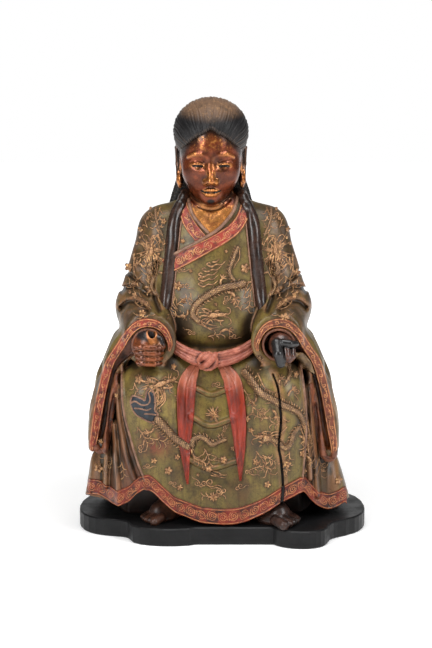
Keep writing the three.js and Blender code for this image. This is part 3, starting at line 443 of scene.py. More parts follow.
upper_lid = cord([(10, -46.5, -15.5), (14, -49.6, -13), (20, -50.8, -12.2), (26, -48.8, -12.8), (30.5, -44.5, -14.8)],
                 [0.7, 1.1, 1.3, 1.1, 0.7], 1.5)
eye_slit = cord([(10.5, -47.6, -16), (14.5, -50.2, -15.2), (20, -51.2, -14.8), (25.5, -49.4, -15), (30, -44.8, -15.6)],
                [0.5, 0.9, 1.1, 0.9, 0.5], 1)
lower_lid = cord([(11, -47, -17.6), (15, -48.8, -18.6), (21, -49, -18.6), (28, -45.2, -17)],
                 [0.7, 1.0, 1.0, 0.7], 1.5)
lid_fold = cord([(10, -49.2, -9.5), (17, -51.6, -6.6), (25, -50, -6.6), (33, -43.5, -10.5)],
                [0.4, 0.8, 0.8, 0.4], 1)
upper_lip = cord([(0, -49.8, -53.6), (3.6, -50.4, -52.4), (8.5, -47.8, -54), (13.5, -43.8, -55.6)],
                 [2.4, 2.8, 2.2, 1.0], 1.5)
lower_lip = cord([(0, -48.8, -60), (6, -47.6, -59.6), (12, -43.8, -57)], [3.6, 3.2, 1.4], 2)
mouth_line = cord([(0, -52.6, -56.6), (6, -51.2, -56.4), (14.5, -44.6, -55.2)], [0.6, 0.6, 0.9], 1)
philtrum = limb((0, -53, -45), (0, -51.5, -51), 1.1, 1.7)
ear_rim = cord([(44, 2, -6), (50, 5, 8), (54, 13, 4), (53, 12, -22), (50, 4, -46)], [3.6, 3.4, 3.2, 3, 5], 2)
ear_bowl = ellipsoid((47, 7, -16), (4, 8, 24))
ear_hollow = cord([(51, 0, 2), (52.5, 4, -12), (52, 0, -26)], [2.2, 3, 2], 1)
ear_lobe = ellipsoid((49, 2, -48), (4.6, 6.5, 11))
neck_creases = [
    stroke(curve([(-38, 512), (-26, 500), (-4, 494), (18, 500), (30, 512)]), 0),
    stroke(curve([(-34, 500), (-22, 489), (-4, 484), (14, 489), (26, 500)]), 0),
]
hair_cap = ellipsoid((0, 8, 31), (60, 66, 54))
hair_fall = cord([(0, 32, 0), (0, 38, -60), (0, 40, -110), (0, 50, -180)], [47, 40, 42, 26], 14)
hair_lock = cord([(42, 24, -18), (46, 25, -50), (53, 25, -72), (60, 22, -92)], [11, 10, 10, 9], 1)


def in_head(x, y, z):
    u, v, w = x - HEAD_CENTRE[0], y - HEAD_CENTRE[1], z - HEAD_CENTRE[2]
    c, s = math.cos(HEAD_TILT), math.sin(HEAD_TILT)
    return u, v * c + w * s, w * c - v * s


def face(x, y, z):
    u, v, w = in_head(x, y, z)
    au = np.abs(u)
    d = join(skull(u, v, w), jaw(u, v, w), 22)
    d = join(d, cheek(au, v, w), 14)
    d = join(d, chin(u, v, w), 12)
    d = cut(d, socket(au, v, w), 8)
    d = join(d, eyeball(au, v, w), 1.5)
    d = join(d, upper_lid(au, v, w), 2)
    d = join(d, lower_lid(au, v, w), 2)
    d = cut(d, eye_slit(au, v, w), 0.8)
    d = cut(d, lid_fold(au, v, w), 1.4)
    d = join(d, brow(au, v, w), 4)
    nose = join(join(bridge(u, v, w), nose_tip(u, v, w), 4), nostril(au, v, w), 3)
    d = join(d, nose, 6)
    d = cut(d, nostril_hole(au, v, w), 1)
    d = cut(d, philtrum(u, v, w), 2)
    d = join(d, upper_lip(au, v, w), 1.8)
    d = join(d, lower_lip(au, v, w), 2.5)
    d = cut(d, mouth_line(au, v, w), 1)
    d = join(d, neck(u, v, w), 8)
    xs, zs = np.array(NECKLINE).T
    outside = np.maximum((np.interp(x, xs, zs) - 3 - z) * 0.6, np.abs(x) - 42)
    d = join(d, meet(robe_whole(x, y, z) - 1.2, outside, 1), 9)
    for crease in neck_creases:
        d = d + 0.9 * bump(crease(x, z), 3) * (y < 0)
    ear = join(join(ear_rim(au, v, w), ear_bowl(au, v, w), 3), ear_lobe(au, v, w), 4)
    d = join(d, cut(ear, ear_hollow(au, v, w), 2), 3)
    return d + 0.12 * ripple((u, v, w), 16, 11)


def strand_lines(u, v, w):
    """Across a strand of combed hair in mm, and along it"""
    cap_across = 60 * np.arctan2(u, w + 14)
    cap_along = 62 * np.arctan2(v - 8, w + 14)
    down = smooth(22, -16, w) * smooth(6, 26, v)
    return mix(cap_across, u * 1.15, down), mix(cap_along, -w, down)


def hairline(u, v):
    return 35 - 36 * (u / 47) ** 2 - 2.5 * np.maximum(v + 2, 0) + 5 * bump(u, 13)


def hair(x, y, z):
    u, v, w = in_head(x, y, z)
    au = np.abs(u)
    across, along = strand_lines(u, v, w)
    wave = across + 1.6 * np.sin(along / 21) + 0.7 * np.sin(along / 7 + across / 5)
    fine = 0.5 * np.sin(wave * 2.0) + 0.36 * np.sin(wave * 1.27 + 1) + 0.25 * np.sin(wave * 0.55)
    lock = 1.6 * np.sin(u / 2.6 + 1.2 * np.sin(w / 30)) * smooth(10, -20, w) * smooth(20, 40, v)
    cap = meet(hair_cap(u, v, w), hairline(u, v) - w, 9)
    fall = meet(hair_fall(u * 0.86, v * 1.25 - 8, w) / 1.1 - lock, 8 - v, 10)
    d = join(join(cap, fall, 14), hair_lock(au, v, w), 8)
    return d + 0.7 - 0.75 * fine


# Hands and feet
FINGER_Z, FINGER_BACK = (281, 272.6, 264.2, 256), (0.5, 0, 0.8, 3)
FINGER_ARC = np.radians([180, 155, 132, 110, 88, 66, 44, 20])
fist = [
    ellipsoid((-101, -96, 279), (22, 18, 23)),
    limb((-101, -60, 285), (-102, -88, 282), 19, 20),
    cord([(-111, -94, 296), (-96, -95, 300), (-82, -101, 292), (-78, -107, 283)], [6, 6, 5.6, 5]),
]
fist_fingers = [
    cord([(-98 + (21 - i) * math.cos(a), -99 - (18 - FINGER_BACK[i]) * math.sin(a), z - 0.8 * math.cos(a))
          for a in FINGER_ARC], [4.6, 4.4, 4.9, 4.3, 4.1, 4.6, 4.1, 3.4], 1)
    for i, z in enumerate(FINGER_Z)
]
staff_hole = limb((-95, -103, 284), (-95, -100, 320), 5.5, 5.5)
palm = [
    ellipsoid((105, -94, 280), (18, 16, 19)),
    limb((103, -60, 286), (104, -88, 284), 18, 18),
]
pointers = [
    cord([(97, -108, 287), (99, -120, 272), (103, -119, 257)], [8.5, 8.2, 7], 1),
    cord([(107, -110, 288), (117, -112, 287), (126, -106, 286)], [6.5, 6.2, 5.2], 1),
    cord([(112, -110, 278), (113, -115, 268), (109, -112, 261)], [6, 6, 5], 1),
    cord([(121, -104, 276), (121, -109, 267), (116, -108, 260)], [5.5, 5.5, 4.6], 1),
]


def left_hand(x, y, z):
    d = join(nearest(fist, x, y, z, 8), nearest(fist_fingers, x, y, z, 0.8), 1.5)
    return cut(d, staff_hole(x, y, z), 2) + 0.1 * ripple((x, y, z), 12, 3)


def right_hand(x, y, z):
    d = join(nearest(palm, x, y, z, 6), nearest(pointers, x, y, z, 0.8), 1.5)
    return d + 0.1 * ripple((x, y, z), 12, 4)


TOES = list(zip((-17, -6, 2, 10, 17), (9, 8, 6, 3, -1), (7, 5, 5, 5, 4.5)))


def foot(place, turn, size):
    side = math.copysign(1, place[0])
    c, s = math.cos(math.radians(turn)), math.sin(math.radians(turn))
    half = FOOT_LENGTH / 2
    instep = limb((0, half, 24), (0, -half * 0.4, 13), 22, 15)
    leg = limb((0, half, 26), (4, half * 1.7, 66), 22, 26)
    sole = ellipsoid((0, 0, 5), (23, half, 11))
    toes, nails = [], []
    for i, (across, reach, thick) in enumerate(TOES):
        tip = -half - reach
        toes.append(limb((across, tip + 16, 9), (across, tip, 5.5), 6.5 - i * 0.4, thick))
        nails.append(ellipsoid((across, tip - 2.5, 5.5 + thick), (thick * 0.55, 3, 2)))

    def field(x, y, z):
        dx, dy, w = (x - place[0]) * side / size, (y - place[1]) / size, z / size
        u, v = dx * c + dy * s, dy * c - dx * s
        upper = join(join(instep(u, v, w), sole(u, v, w), 8), leg(u, v, w), 12)
        d = join(upper, nearest(toes, u, v, w, 0.8), 2.5)
        d = cut(d, nearest(nails, u, v, w, 0.5), 0.6)
        return np.maximum(d * size, -z)
    return field


# Sash: two rolled cords round the waist and a knot
SASH = [
    [(-84, -34, 299), (-75, -50, 289), (-52, -66, 274), (-20, -76, 263), (4, -76, 262), (42, -70, 271),
     (74, -50, 289), (84, -34, 300)],
    [(-82, -38, 287), (-72, -54, 278), (-50, -69, 263), (-24, -79, 252), (14, -79, 251), (44, -71, 260),
     (74, -53, 279), (84, -38, 290)],
]
sash_paths = [curve(points, 40) for points in SASH]
sash_cords = [cord(path, [5.6] * len(path), 0.6) for path in sash_paths]
sash_core = cord((sash_paths[0] + sash_paths[1]) / 2 + (0, 2, 0), [4.6] * len(sash_paths[0]), 0.6)
sash_creases = [cord(path + (0, -5.6, 1.2), [0.9] * len(path), 1) for path in sash_paths]
knot = [
    ellipsoid((-9, -80, 255), (13, 10, 12)),
    cord([(-9 + 12.5 * math.cos(a), -86 - 2 * math.sin(a), 255 + 11.5 * math.sin(a)) for a in np.radians(range(-40, 321, 30))],
         [4.6] * 13, 1),
    cord([(-18, -90, 247), (-11, -97, 252), (-2, -95, 260), (3, -88, 266)], [4.6, 5.4, 5.2, 4.4], 1),
    cord([(-19, -90, 258), (-13, -95, 262), (-7, -93, 266)], [3.6, 4.4, 3.6], 1),
]
knot_creases = [
    cord([(-16, -97, 244), (-7, -101, 248), (2, -99, 257)], [0.8, 1.1, 0.8]),
    cord([(-20, -96, 253), (-12, -100.5, 258), (-4, -98, 265)], [0.8, 1.1, 0.8]),
]


def sash(x, y, z):
    d = join(nearest([*sash_cords, sash_core], x, y, z, 0.8), nearest(knot, x, y, z, 0.8), 2)
    d = cut(d, nearest(sash_creases, x, y, z, 0.5), 0.8)
    return cut(d, nearest(knot_creases, x, y, z, 0.5), 1.5)


# The inner sleeves show as a rim round each wrist, and the mantle's edge rolls round the neck
sleeve_rim = [limb((98, -58, 284), (101, -95, 282), 24, 26), limb((98, -50, 284), (101, -104, 282), 20, 22)]
NECK_ROLL = [(47, -4, 502), (44, 8, 507), (39, 21, 509), (31, 34, 508), (18, 43, 506)]
lapel_line = curve(LAPEL, 24)
lapel_line = lapel_line[lapel_line[:, 1] < 492]
lapel_depth = steady(front_of(*lapel_line.T), 3)
lapel_path = np.concatenate([np.insert(lapel_line, 1, lapel_depth + 1, 1)[::-1], NECK_ROLL])
lapel_cord = cord(lapel_path, np.interp(np.linspace(0, 1, len(lapel_path)), [0, 0.1, 0.5, 0.8, 1], [7, 9.5, 10, 9, 7]), 3)


def inner_sleeves(x, y, z):
    whole, hollow = (part(np.abs(x), y, z) for part in sleeve_rim)
    return cut(meet(whole, -97 - y, 3), hollow, 2)


def lapels(x, y, z):
    return lapel_cord(np.abs(x), y, z) + 0.3 * ripple((x, y, z / 2), 16, 41)


# Meshes from fields


def sampled(field, low, high, step):
    """The field on a grid: everywhere at four steps, and at each step near the surface"""
    count = ((np.array(high) - low) / (4 * step)).astype(int) + 2
    axes = [low[k] + 4 * step * np.arange(count[k]) for k in range(3)]
    values = field(*(a.astype(np.float32) for a in np.meshgrid(*axes, indexing="ij"))).astype(np.float32)
    for k in range(3):
        values = np.moveaxis(values, k, 0)
        between = [mix(values[:-1], values[1:], t / 4) for t in range(4)]
        merged = np.stack(between, 1).reshape(-1, *values.shape[1:])
        values = np.moveaxis(np.concatenate([merged, values[-1:]]), 0, k)
    near = np.nonzero(np.abs(values) < 7 * step + 4)
    values[near] = field(*(low[k] + step * near[k].astype(np.float32) for k in range(3)))
    return values


def mesh_object(name, points, faces, attributes=None):
    """A mesh in the row's frame from points in the figure's millimetres"""
    points, faces = np.asarray(points, float), np.asarray(faces)
    corners = points[faces[:, :3]]
    volume = np.einsum("ij,ij->i", corners[:, 0], np.cross(corners[:, 1], corners[:, 2])).sum()
    if volume < 0:
        faces = faces[:, ::-1]
    mesh = bpy.data.meshes.new(name)
    mesh.vertices.add(len(points))
    mesh.vertices.foreach_set("co", ((points + ORIGIN) * MM).ravel())
    mesh.loops.add(faces.size)
    mesh.loops.foreach_set("vertex_index", faces.ravel().astype(np.int32))
    mesh.polygons.add(len(faces))
    mesh.polygons.foreach_set("loop_start", np.arange(0, faces.size, faces.shape[1], dtype=np.int32))
    mesh.update(calc_edges=True)
    mesh.polygons.foreach_set("use_smooth", np.ones(len(faces), bool))
    for key, values in (attributes or {}).items():
        mesh.attributes.new(key, "FLOAT", "POINT").data.foreach_set("value", np.asarray(values, np.float32))
    piece = bpy.data.objects.new(name, mesh)
    bpy.context.scene.collection.objects.link(piece)
    return piece


def points_of(piece):
    flat = np.empty(len(piece.data.vertices) * 3)
    piece.data.vertices.foreach_get("co", flat)
    return flat.reshape(-1, 3) / MM - ORIGIN


def normals_of(piece):
    flat = np.empty(len(piece.data.vertices) * 3)
    piece.data.vertices.foreach_get("normal", flat)
    return flat.reshape(-1, 3)


def set_values(piece, key, values):
    data = piece.data.attributes.new(key, "FLOAT", "POINT").data
    data.foreach_set("value", np.asarray(values, np.float32))


def carved(name, field, low, high, step, most):
    """The piece whose surface is the field's zero, with at most that many triangles"""
    step = step * COARSE
    low = np.array(low, float)
    grid = openvdb.FloatGrid(3 * step)
    grid.copyFromArray(np.clip(sampled(field, low, high, step), -3 * step, 3 * step))
    points, quads = grid.convertToQuads(0.0)
    piece = mesh_object(name, points * step + low, quads)
    if 2 * len(quads) > most:
        thinner = piece.modifiers.new("thinner", "DECIMATE")
        thinner.ratio = most / (2 * len(quads))
        ready = piece.evaluated_get(bpy.context.evaluated_depsgraph_get())
        mesh = bpy.data.meshes.new_from_object(ready)
        piece.modifiers.clear()
        piece.data = mesh
        mesh.polygons.foreach_set("use_smooth", np.ones(len(mesh.polygons), bool))
    return piece


def set_hollow(piece, field, reach=5.0):
    """Keeps how open the space before each point is, less in a fold, and how sharp a ridge it stands on"""
    p, n = points_of(piece), normals_of(piece)
    open_near = field(*(p + n * reach).T) / reach
    open_far = field(*(p + n * reach * 3).T) / (reach * 3)
    set_values(piece, "open", np.clip(0.5 * (open_near + open_far), 0, 1.2))
    set_values(piece, "ridge", np.clip(1 + field(*(p - n * reach).T) / reach, 0, 1))


# Laid strips and cords


def grid_faces(rows, across, start=0, wrap=False):
    i, j = np.meshgrid(np.arange(rows - 1), np.arange(across if wrap else across - 1), indexing="ij")
    right = (j + 1) % across
    quads = np.stack([i * across + j, (i + 1) * across + j, (i + 1) * across + right, i * across + right], -1)
    return quads.reshape(-1, 4) + start


def closed_under(front, sink):
    """Points, quads and triangles of a closed body: a sheet in front, and behind it one row of wide faces"""
    rows, across = front.shape[:2]
    back = front[:, [0, -1]] + (0, sink, 0)
    points = np.concatenate([front.reshape(-1, 3), back.reshape(-1, 3)])
    n = rows * across
    i = np.arange(rows - 1)
    first, last, left, right = i * across, i * across + across - 1, n + 2 * i, n + 2 * i + 1
    quads = [
        grid_faces(rows, across),
        np.stack([first, left, left + 2, first + across], 1),
        np.stack([last, last + across, right + 2, right], 1),
        np.stack([left, right, right + 2, left + 2], 1),
    ]
    triangles = []
    for row, flipped in ((0, False), (rows - 1, True)):
        line = np.append(row * across + np.arange(across), n + 2 * row + 1)
        fan = np.stack([np.full(across, n + 2 * row), line[:-1], line[1:]], 1)
        triangles.append(fan[:, ::-1] if flipped else fan)
    return points, np.concatenate(quads), np.concatenate(triangles)


def length_of(line):
    return np.linalg.norm(np.diff(np.array(line, float), axis=0), axis=1).sum()


def ribbon_rows(line, widths, steps, across):
    """Rows of points across a line, with how far along and across it each one is, in mm"""
    path = curve(line, steps)
    way = np.gradient(path, axis=0)
    way /= np.linalg.norm(way, axis=1)[:, None]
    half = np.interp(np.linspace(0, 1, steps + 1), np.linspace(0, 1, len(widths)), widths)
    v = np.linspace(-1, 1, across)
    off = half[:, None] * v
    x = path[:, :1] - way[:, 1:] * off
    z = path[:, 1:] + way[:, :1] * off
    along = np.concatenate([[0], np.cumsum(np.linalg.norm(np.diff(path, axis=0), axis=1))])
    return x, z, np.broadcast_to(along[:, None], off.shape), off, np.broadcast_to(v, off.shape)


def strip(x, z, height, sink=5.0, rounds=3, furthest=30.0, **values):
    """A closed strip laid on the cloth and standing out from it by its height: (points, quads, triangles, values)"""
    y = steady(np.minimum(front_of(x, z), furthest), rounds)
    points, quads, triangles = closed_under(np.stack([x, y - height, z], -1), sink)
    spare = np.zeros(2 * len(x))
    return points, quads, triangles, {key: np.append(np.ravel(v), spare) for key, v in values.items()}


def one_piece(name, parts):
    """One object from several (points, quads, triangles, values)"""
    start, points, quads, triangles = 0, [], [], []
    for part in parts:
        points.append(part[0])
        quads.append(part[1] + start)
        triangles.append(part[2] + start)
        start += len(part[0])
    values = {key: np.concatenate([part[3][key] for part in parts]) for key in parts[0][3]}
    return mixed_mesh(name, np.concatenate(points), np.concatenate(quads), np.concatenate(triangles), values)


def scroll(along, across, half, cell=17.0):
    """Raised lines of curling stems, leaves and beads in a border, from 0 to 1"""
    k = np.floor(along / cell)
    side = np.where(k % 2 == 0, 1.0, -1.0)
    u = (along / cell - k - 0.5) * cell
    v = across * side
    radius = np.hypot(u, v + 0.6)
    turn = np.arctan2(v + 0.6, u) / (2 * math.pi)
    spiral = radius / 3.0 - turn
    curl = bump((spiral - np.round(spiral)) * 3.0, 1.15) * smooth(half * 1.05, half * 0.8, radius)
    stem = bump(across - 0.5 * half * np.sin(math.pi * along / cell + 0.6), 1.1)
    leaf_u = (along / cell - np.round(along / cell)) * cell
    leaf = bump(np.hypot(leaf_u - 1.5, across - side * half * 0.5), 2.3)
    leaf = np.maximum(leaf, bump(np.hypot(leaf_u + 1.8, across + side * half * 0.45), 2.0))
    bead = bump(np.hypot(leaf_u, across + side * half * 0.05), 1.4)
    return np.maximum(np.maximum(curl, stem * 0.8), np.maximum(leaf, bead))


def border_height(along, across, half, rise=1.6):
    rim = bump(np.abs(across) - half + 1.5, 1.6)
    inside = smooth(half - 1.5, half - 4, np.abs(across))
    lines = scroll(along, across, half - 3) * inside
    return rise + 1.3 * rim + 0.9 * lines, np.maximum(lines, 0.85 * rim)


CLOTH_EDGE, CLOTH_STEP = 20, 5


def on_cloth(path, depth):
    """The first stretch of a path, up to where it runs off the cloth or over a step in it"""
    stops = np.append(depth > CLOTH_EDGE, True) | np.append(np.abs(np.append(np.diff(depth), 0)) > CLOTH_STEP, True)
    end = int(np.argmax(stops))
    return path[:end], depth[:end]


def ring_turns(scales):
    """Angles round a cord, with 90 degrees at its front; a scaled one has nearly all its points there"""
    if scales:
        return np.radians(np.append(np.linspace(-20, 200, 21), (240, 300)))
    return 2 * math.pi * (np.arange(7) + 0.5) / 7 - math.pi / 2


def laid_tubes(tubes, ends_at_edge=False):
    """Rounded cords on the cloth, each (line, radius, radius at its end, how far it stands out, scales)"""
    paths, parts = [], []
    for line, _, _, _, scales in tubes:
        step = (0.8 if scales else 1.3) * COARSE
        paths.append(curve(line, max(int(length_of(line) / step), 8 if len(line) > 3 else 5)))
    flat = np.concatenate(paths)
    depths = np.split(front_of(flat[:, 0], flat[:, 1]), np.cumsum([len(path) for path in paths])[:-1])
    for path, depth, (line, radius, tip, out, scales) in zip(paths, depths, tubes):
        if ends_at_edge:
            path, depth = on_cloth(path, depth)
        n = len(path)
        if n < 5:
            continue
        turn = ring_turns(scales)
        sides = len(turn)
        t = np.linspace(0, 1, n)
        length = length_of(path)
        rounded = np.minimum(1, 0.4 + t * length / (radius * 1.5)) * np.minimum(1, 0.25 + (1 - t) * length / 3)
        radii = mix(radius, tip, t ** 1.5) * rounded
        centre = np.stack([path[:, 0], steady(depth, 2) - out * radii, path[:, 1]], 1)
        way = np.gradient(centre, axis=0)
        way /= np.linalg.norm(way, axis=1)[:, None] + 1e-9
        side = np.cross(way, (0, 1, 0))
        side /= np.linalg.norm(side, axis=1)[:, None] + 1e-9
        up = np.cross(way, side)
        up *= -np.sign(up[:, 1:2] + 1e-9)
        row, lane = t[:, None] * length / 4.2, (9 if radius > 4 else 6) * turn / (2 * math.pi)
        scale = np.abs(np.sin(math.pi * (row + lane)) * np.sin(math.pi * (row - lane)))
        r = radii[:, None] * (1 + scales * (scale - 0.4))
        ring = (centre[:, None] + side[:, None] * (r * np.cos(turn))[..., None]
                + up[:, None] * (0.85 * r * np.sin(turn))[..., None])
        points = np.concatenate([ring.reshape(-1, 3), centre[[0, -1]]])
        k = np.arange(sides)
        last = (n - 1) * sides
        ends = np.concatenate([
            np.stack([(k + 1) % sides, k, np.full(sides, n * sides)], 1),
            np.stack([last + k, last + (k + 1) % sides, np.full(sides, n * sides + 1)], 1),
        ])
        # How proud each point stands on its cord and scale: the paint shades the low ones and gilds the high ones
        proud = np.sin(turn) + 9 * scales * (scale - 0.5)
        proud = np.append(np.ravel(proud * np.ones_like(r)), (0.0, 0.0))
        dull = np.full(len(points), float(scales > 0))
        parts.append((points, grid_faces(n, sides, 0, wrap=True), ends, {"proud": proud, "dull": dull}))
    return parts


def rosette(place, radius, height, rings=9, around=40):
    """A round boss laid on the cloth; its height follows from the distance to its middle and the turn"""
    r = np.linspace(0, 1, rings + 1)[1:, None]
    turn = np.linspace(0, 2 * math.pi, around, endpoint=False)[None]
    rise, reach = height(r, turn)
    x, z = place[0] + radius * r * reach * np.cos(turn), place[1] + radius * r * reach * np.sin(turn)
    y = front_of(x, z)
    middle = float(front_of(place[0], place[1]))
    y = np.clip(y, middle - 6, middle + 6)
    front = np.stack([x, y - rise * np.ones_like(x), z], -1)
    front[-1, :, 1] = y[-1] + 1.5
    points = np.concatenate([front.reshape(-1, 3), [(place[0], middle - height(0.0, 0.0)[0], place[1])],
                             [(place[0], middle + 4, place[1])]])
    k = np.arange(around)
    n = rings * around
    fans = np.concatenate([
        np.stack([k, (k + 1) % around, np.full(around, n)], 1),
        np.stack([n - around + (k + 1) % around, n - around + k, np.full(around, n + 1)], 1),
    ])
    # Higher points are painted lighter and lower ones darker, as on the cords
    proud = np.append((rise * np.ones_like(x)).ravel() / 2.2, (1.0, 0.0))
    return points, grid_faces(rings, around, 0, wrap=True)[:, ::-1], fans, {"proud": proud, "dull": 0 * proud}


def mixed_mesh(name, points, quads, triangles, attributes):
    """A mesh of quads and triangles"""
    points = np.asarray(points, float)
    mesh = bpy.data.meshes.new(name)
    mesh.vertices.add(len(points))
    mesh.vertices.foreach_set("co", ((points + ORIGIN) * MM).ravel())
    loops = np.concatenate([quads.ravel(), triangles.ravel()]).astype(np.int32)
    mesh.loops.add(len(loops))
    mesh.loops.foreach_set("vertex_index", loops)
    starts = np.concatenate([4 * np.arange(len(quads)), 4 * len(quads) + 3 * np.arange(len(triangles))])
    mesh.polygons.add(len(starts))
    mesh.polygons.foreach_set("loop_start", starts.astype(np.int32))
    mesh.update(calc_edges=True)
    mesh.polygons.foreach_set("use_smooth", np.ones(len(starts), bool))
    for key, values in attributes.items():
        mesh.attributes.new(key, "FLOAT", "POINT").data.foreach_set("value", np.asarray(values, np.float32))
    piece = bpy.data.objects.new(name, mesh)
    bpy.context.scene.collection.objects.link(piece)
    return piece


# The carved pieces
robe_piece = carved("robe", robe, (-246, -136, -3), (252, 132, 522), 1.5, 195000)
set_hollow(robe_piece, robe, 7)

p = points_of(robe_piece)
px, py, pz = p.T
lining = smooth(-1.2, -3.5, robe_whole(px, py, pz)) * (pz > 0.5)
set_values(robe_piece, "lining", lining)
# Painted shade: the underside of the hem is painted near black
set_values(robe_piece, "under", lining * smooth(100, 80, pz))
arms = smooth(78, 104, np.abs(px)) * smooth(280, 320, pz)
set_values(robe_piece, "arms", arms)
set_values(robe_piece, "worn", np.maximum(beside_panel(px, pz) * smooth(35, 10, py) * (1 - 0.6 * smooth(160, 178, np.abs(px))), 0.6 * arms))
# Painted highlight: a pool of light on the front of each knee
set_values(robe_piece, "knee_highlight", (bump(np.hypot(np.abs(px) - 92, pz - 190), 70)) * smooth(10, -20, py))
set_values(robe_piece, "rubbed", bump((px + 88) / 42, 1) * bump((pz - 132) / 34, 1) * (py < 0))

face_piece = carved("face", face, (-64, -74, 398), (58, 62, 652), 0.95, 100000)
hair_piece = carved("hair", hair, (-94, -66, 380), (86, 112, 668), 0.95, 140000)
u, v, w = in_head(*points_of(face_piece).T)
set_values(face_piece, "gilded", smooth(4, 26, w) + 2 * smooth(-76, -90, w) + 0.3)
# Dark paint in the eye slits, and painted shade along the mouth line
slits = np.minimum(eye_slit(np.abs(u), v, w), mouth_line(np.abs(u), v, w))
set_values(face_piece, "slit", smooth(1.4, 0.5, slits))
set_values(face_piece, "lips", smooth(1.6, 0.4, np.minimum(upper_lip(np.abs(u), v, w), lower_lip(np.abs(u), v, w))))
set_values(face_piece, "shaded", smooth(-10, 0, w - hairline(u, v)))
set_values(face_piece, "tuft", smooth(1.1, 0.7, np.hypot(u / 6.5, (w + 72) / 4.5)) * (v < -20))
u, v, w = in_head(*points_of(hair_piece).T)
set_values(hair_piece, "crown", smooth(48, 70, w - 0.1 * np.abs(u)))
left_hand_piece = carved("left_hand", left_hand, (-138, -136, 242), (-60, -54, 322), 0.7, 30000)
right_hand_piece = carved("right_hand", right_hand, (64, -138, 242), (138, -54, 318), 0.7, 30000)
left_foot_piece = carved("left_foot", foot((-78, -72), 42, 1), (-142, -128, -3), (-20, -4, 96), 1.0, 20000)
right_foot_piece = carved("right_foot", foot((92, -87), 42, 1.2), (18, -164, -3), (158, -8, 116), 1.1, 20000)
sash_piece = carved("sash", sash, (-96, -106, 232), (96, -24, 312), 0.8, 40000)
cuff_piece = carved("inner_sleeves", inner_sleeves, (-132, -104, 252), (132, -54, 314), 1.1, 16000)
lapel_piece = carved("lapels", lapels, (-92, -74, 322), (92, 56, 520), 1.1, 24000)

# Trim laid on the robe


def fineness(mm):
    return mm * COARSE


def trim(line, widths, length, rise=1.6, sink=5.0, across=0.85, ornate=True, dome=0.0, furthest=30.0):
    """A bordered band along a line; half widths may change, and a dome rounds it across"""
    steps = int(length / fineness(0.95))
    count = int(2 * max(widths) / fineness(across)) + 2
    x, z, along, off, v = ribbon_rows(line, widths, steps, count)
    half = np.abs(off[:, -1:]) + 1e-6
    if ornate:
        height, gilt = border_height(along, off, half, rise)
    else:
        height, gilt = rise + 0 * off, 0 * off
    height = height + dome * np.sqrt(np.clip(1 - v * v, 0, 1))
    worn = ripple((x, z), 15, 8)
    return strip(x, z, height - 0.12 * worn, sink, furthest=furthest, gilt=gilt)


def band(line, widths, **how):
    return trim(line, widths, length_of(line), **how)


collars = one_piece("collars", [
    band(COLLAR_UNDER, COLLAR_UNDER_WIDTHS),
    band(COLLAR_OVER, COLLAR_OVER_WIDTHS, rise=3.4),
])

INNER_LIP = {
    -1: [(-186, 116), (-181, 106), (-172, 110), (-167, 132), (-162, 165), (-156, 202), (-150, 232)],
    1: [(192, 108), (188, 94), (176, 96), (170, 120), (165, 150), (159, 185), (153, 216)],
}
sleeve_borders = one_piece("sleeve_borders", [
    band(line, OUTER_LIP_WIDTHS, dome=1.5, sink=8.0, furthest=-55.0) for line in (flip(OUTER_LIP), OUTER_LIP)
])
inner_legs = one_piece("sleeve_legs", [
    *(band(line, [5, 6, 5.5, 5, 5, 4.5, 3], dome=3.5, sink=8.0, furthest=-52.0, ornate=False)
      for line in INNER_LIP.values()),
])
flap_piece = one_piece("sleeve_flap", [
    band([(124, 270), (136, 260), (147, 247), (158, 232)], [1, 7, 7, 1], dome=2, furthest=-52.0, ornate=False),
])


def hem_strip():
    x, rise = np.meshgrid(np.arange(-203, 214, fineness(0.9)), np.arange(-1, HEM_BORDER, fineness(0.85)),
                          indexing="ij")
    z = hem_edge(x) + rise
    half = HEM_BORDER / 2
    slope = np.gradient(hem_edge(x[:, 0]), x[:, 0])
    along = np.cumsum(np.hypot(1, slope)) * fineness(0.9)
    height, gilt = border_height(along[:, None], rise - half + 0.5, half)
    # The border sinks into the crack, and its gilt falls below zero there, which the paint turns near black as painted
    # shade
    split = smooth(1.6, 0.2, crack_gap(x, z))
    return strip(x, z, height + 0.6 - 3 * split, 5.0, gilt=gilt - 2 * split)


hem_piece = one_piece("hem_border", [hem_strip()])


def ribbon(line, seed):
    steps, count = int(length_of(line) / fineness(1.0)), int(29 / fineness(0.9))
    x, z, along, off, v = ribbon_rows(line, RIBBON_WIDTHS, steps, count)
    rim = 0.8 * bump(np.abs(v) - 0.9, 0.14)
    groove = 1.6 * bump(v, 0.13) * smooth(120, 30, along)
    crease = 0.5 * np.sin(v * 7 + along / 23) * smooth(0, 40, along)
    height = 2.4 + 1.8 * np.sqrt(np.clip(1 - v * v, 0, 1)) + rim - groove + crease
    return strip(x, z, height + 0.2 * ripple((x, z), 18, seed), 5.0, rounds=12, gilt=0 * v)


ribbon_piece = one_piece("ribbons", [ribbon(line, 30 + i) for i, line in enumerate(RIBBONS)])


# Gilt relief on the cloth


def placed(points, place, turn, size, mirror=1):
    """Points drawn about the origin, turned, sized and set down at a place in x and z"""
    c, s = math.cos(math.radians(turn)), math.sin(math.radians(turn))
    u, v = np.array(points, float).T
    v = v * mirror
    return np.stack([place[0] + size * (u * c - v * s), place[1] + size * (u * s + v * c)], 1)


def tube(line, radius, tip=0.4, out=0.25, scales=0.0):
    return (line, radius, tip, out, scales)


def curl(radius, turns=1.4, start=0.0):
    t = np.linspace(0, 1, 12)
    turn = start + 2 * math.pi * turns * t
    return np.stack([radius * (1 - 0.8 * t) * np.cos(turn), radius * (1 - 0.8 * t) * np.sin(turn)], 1)


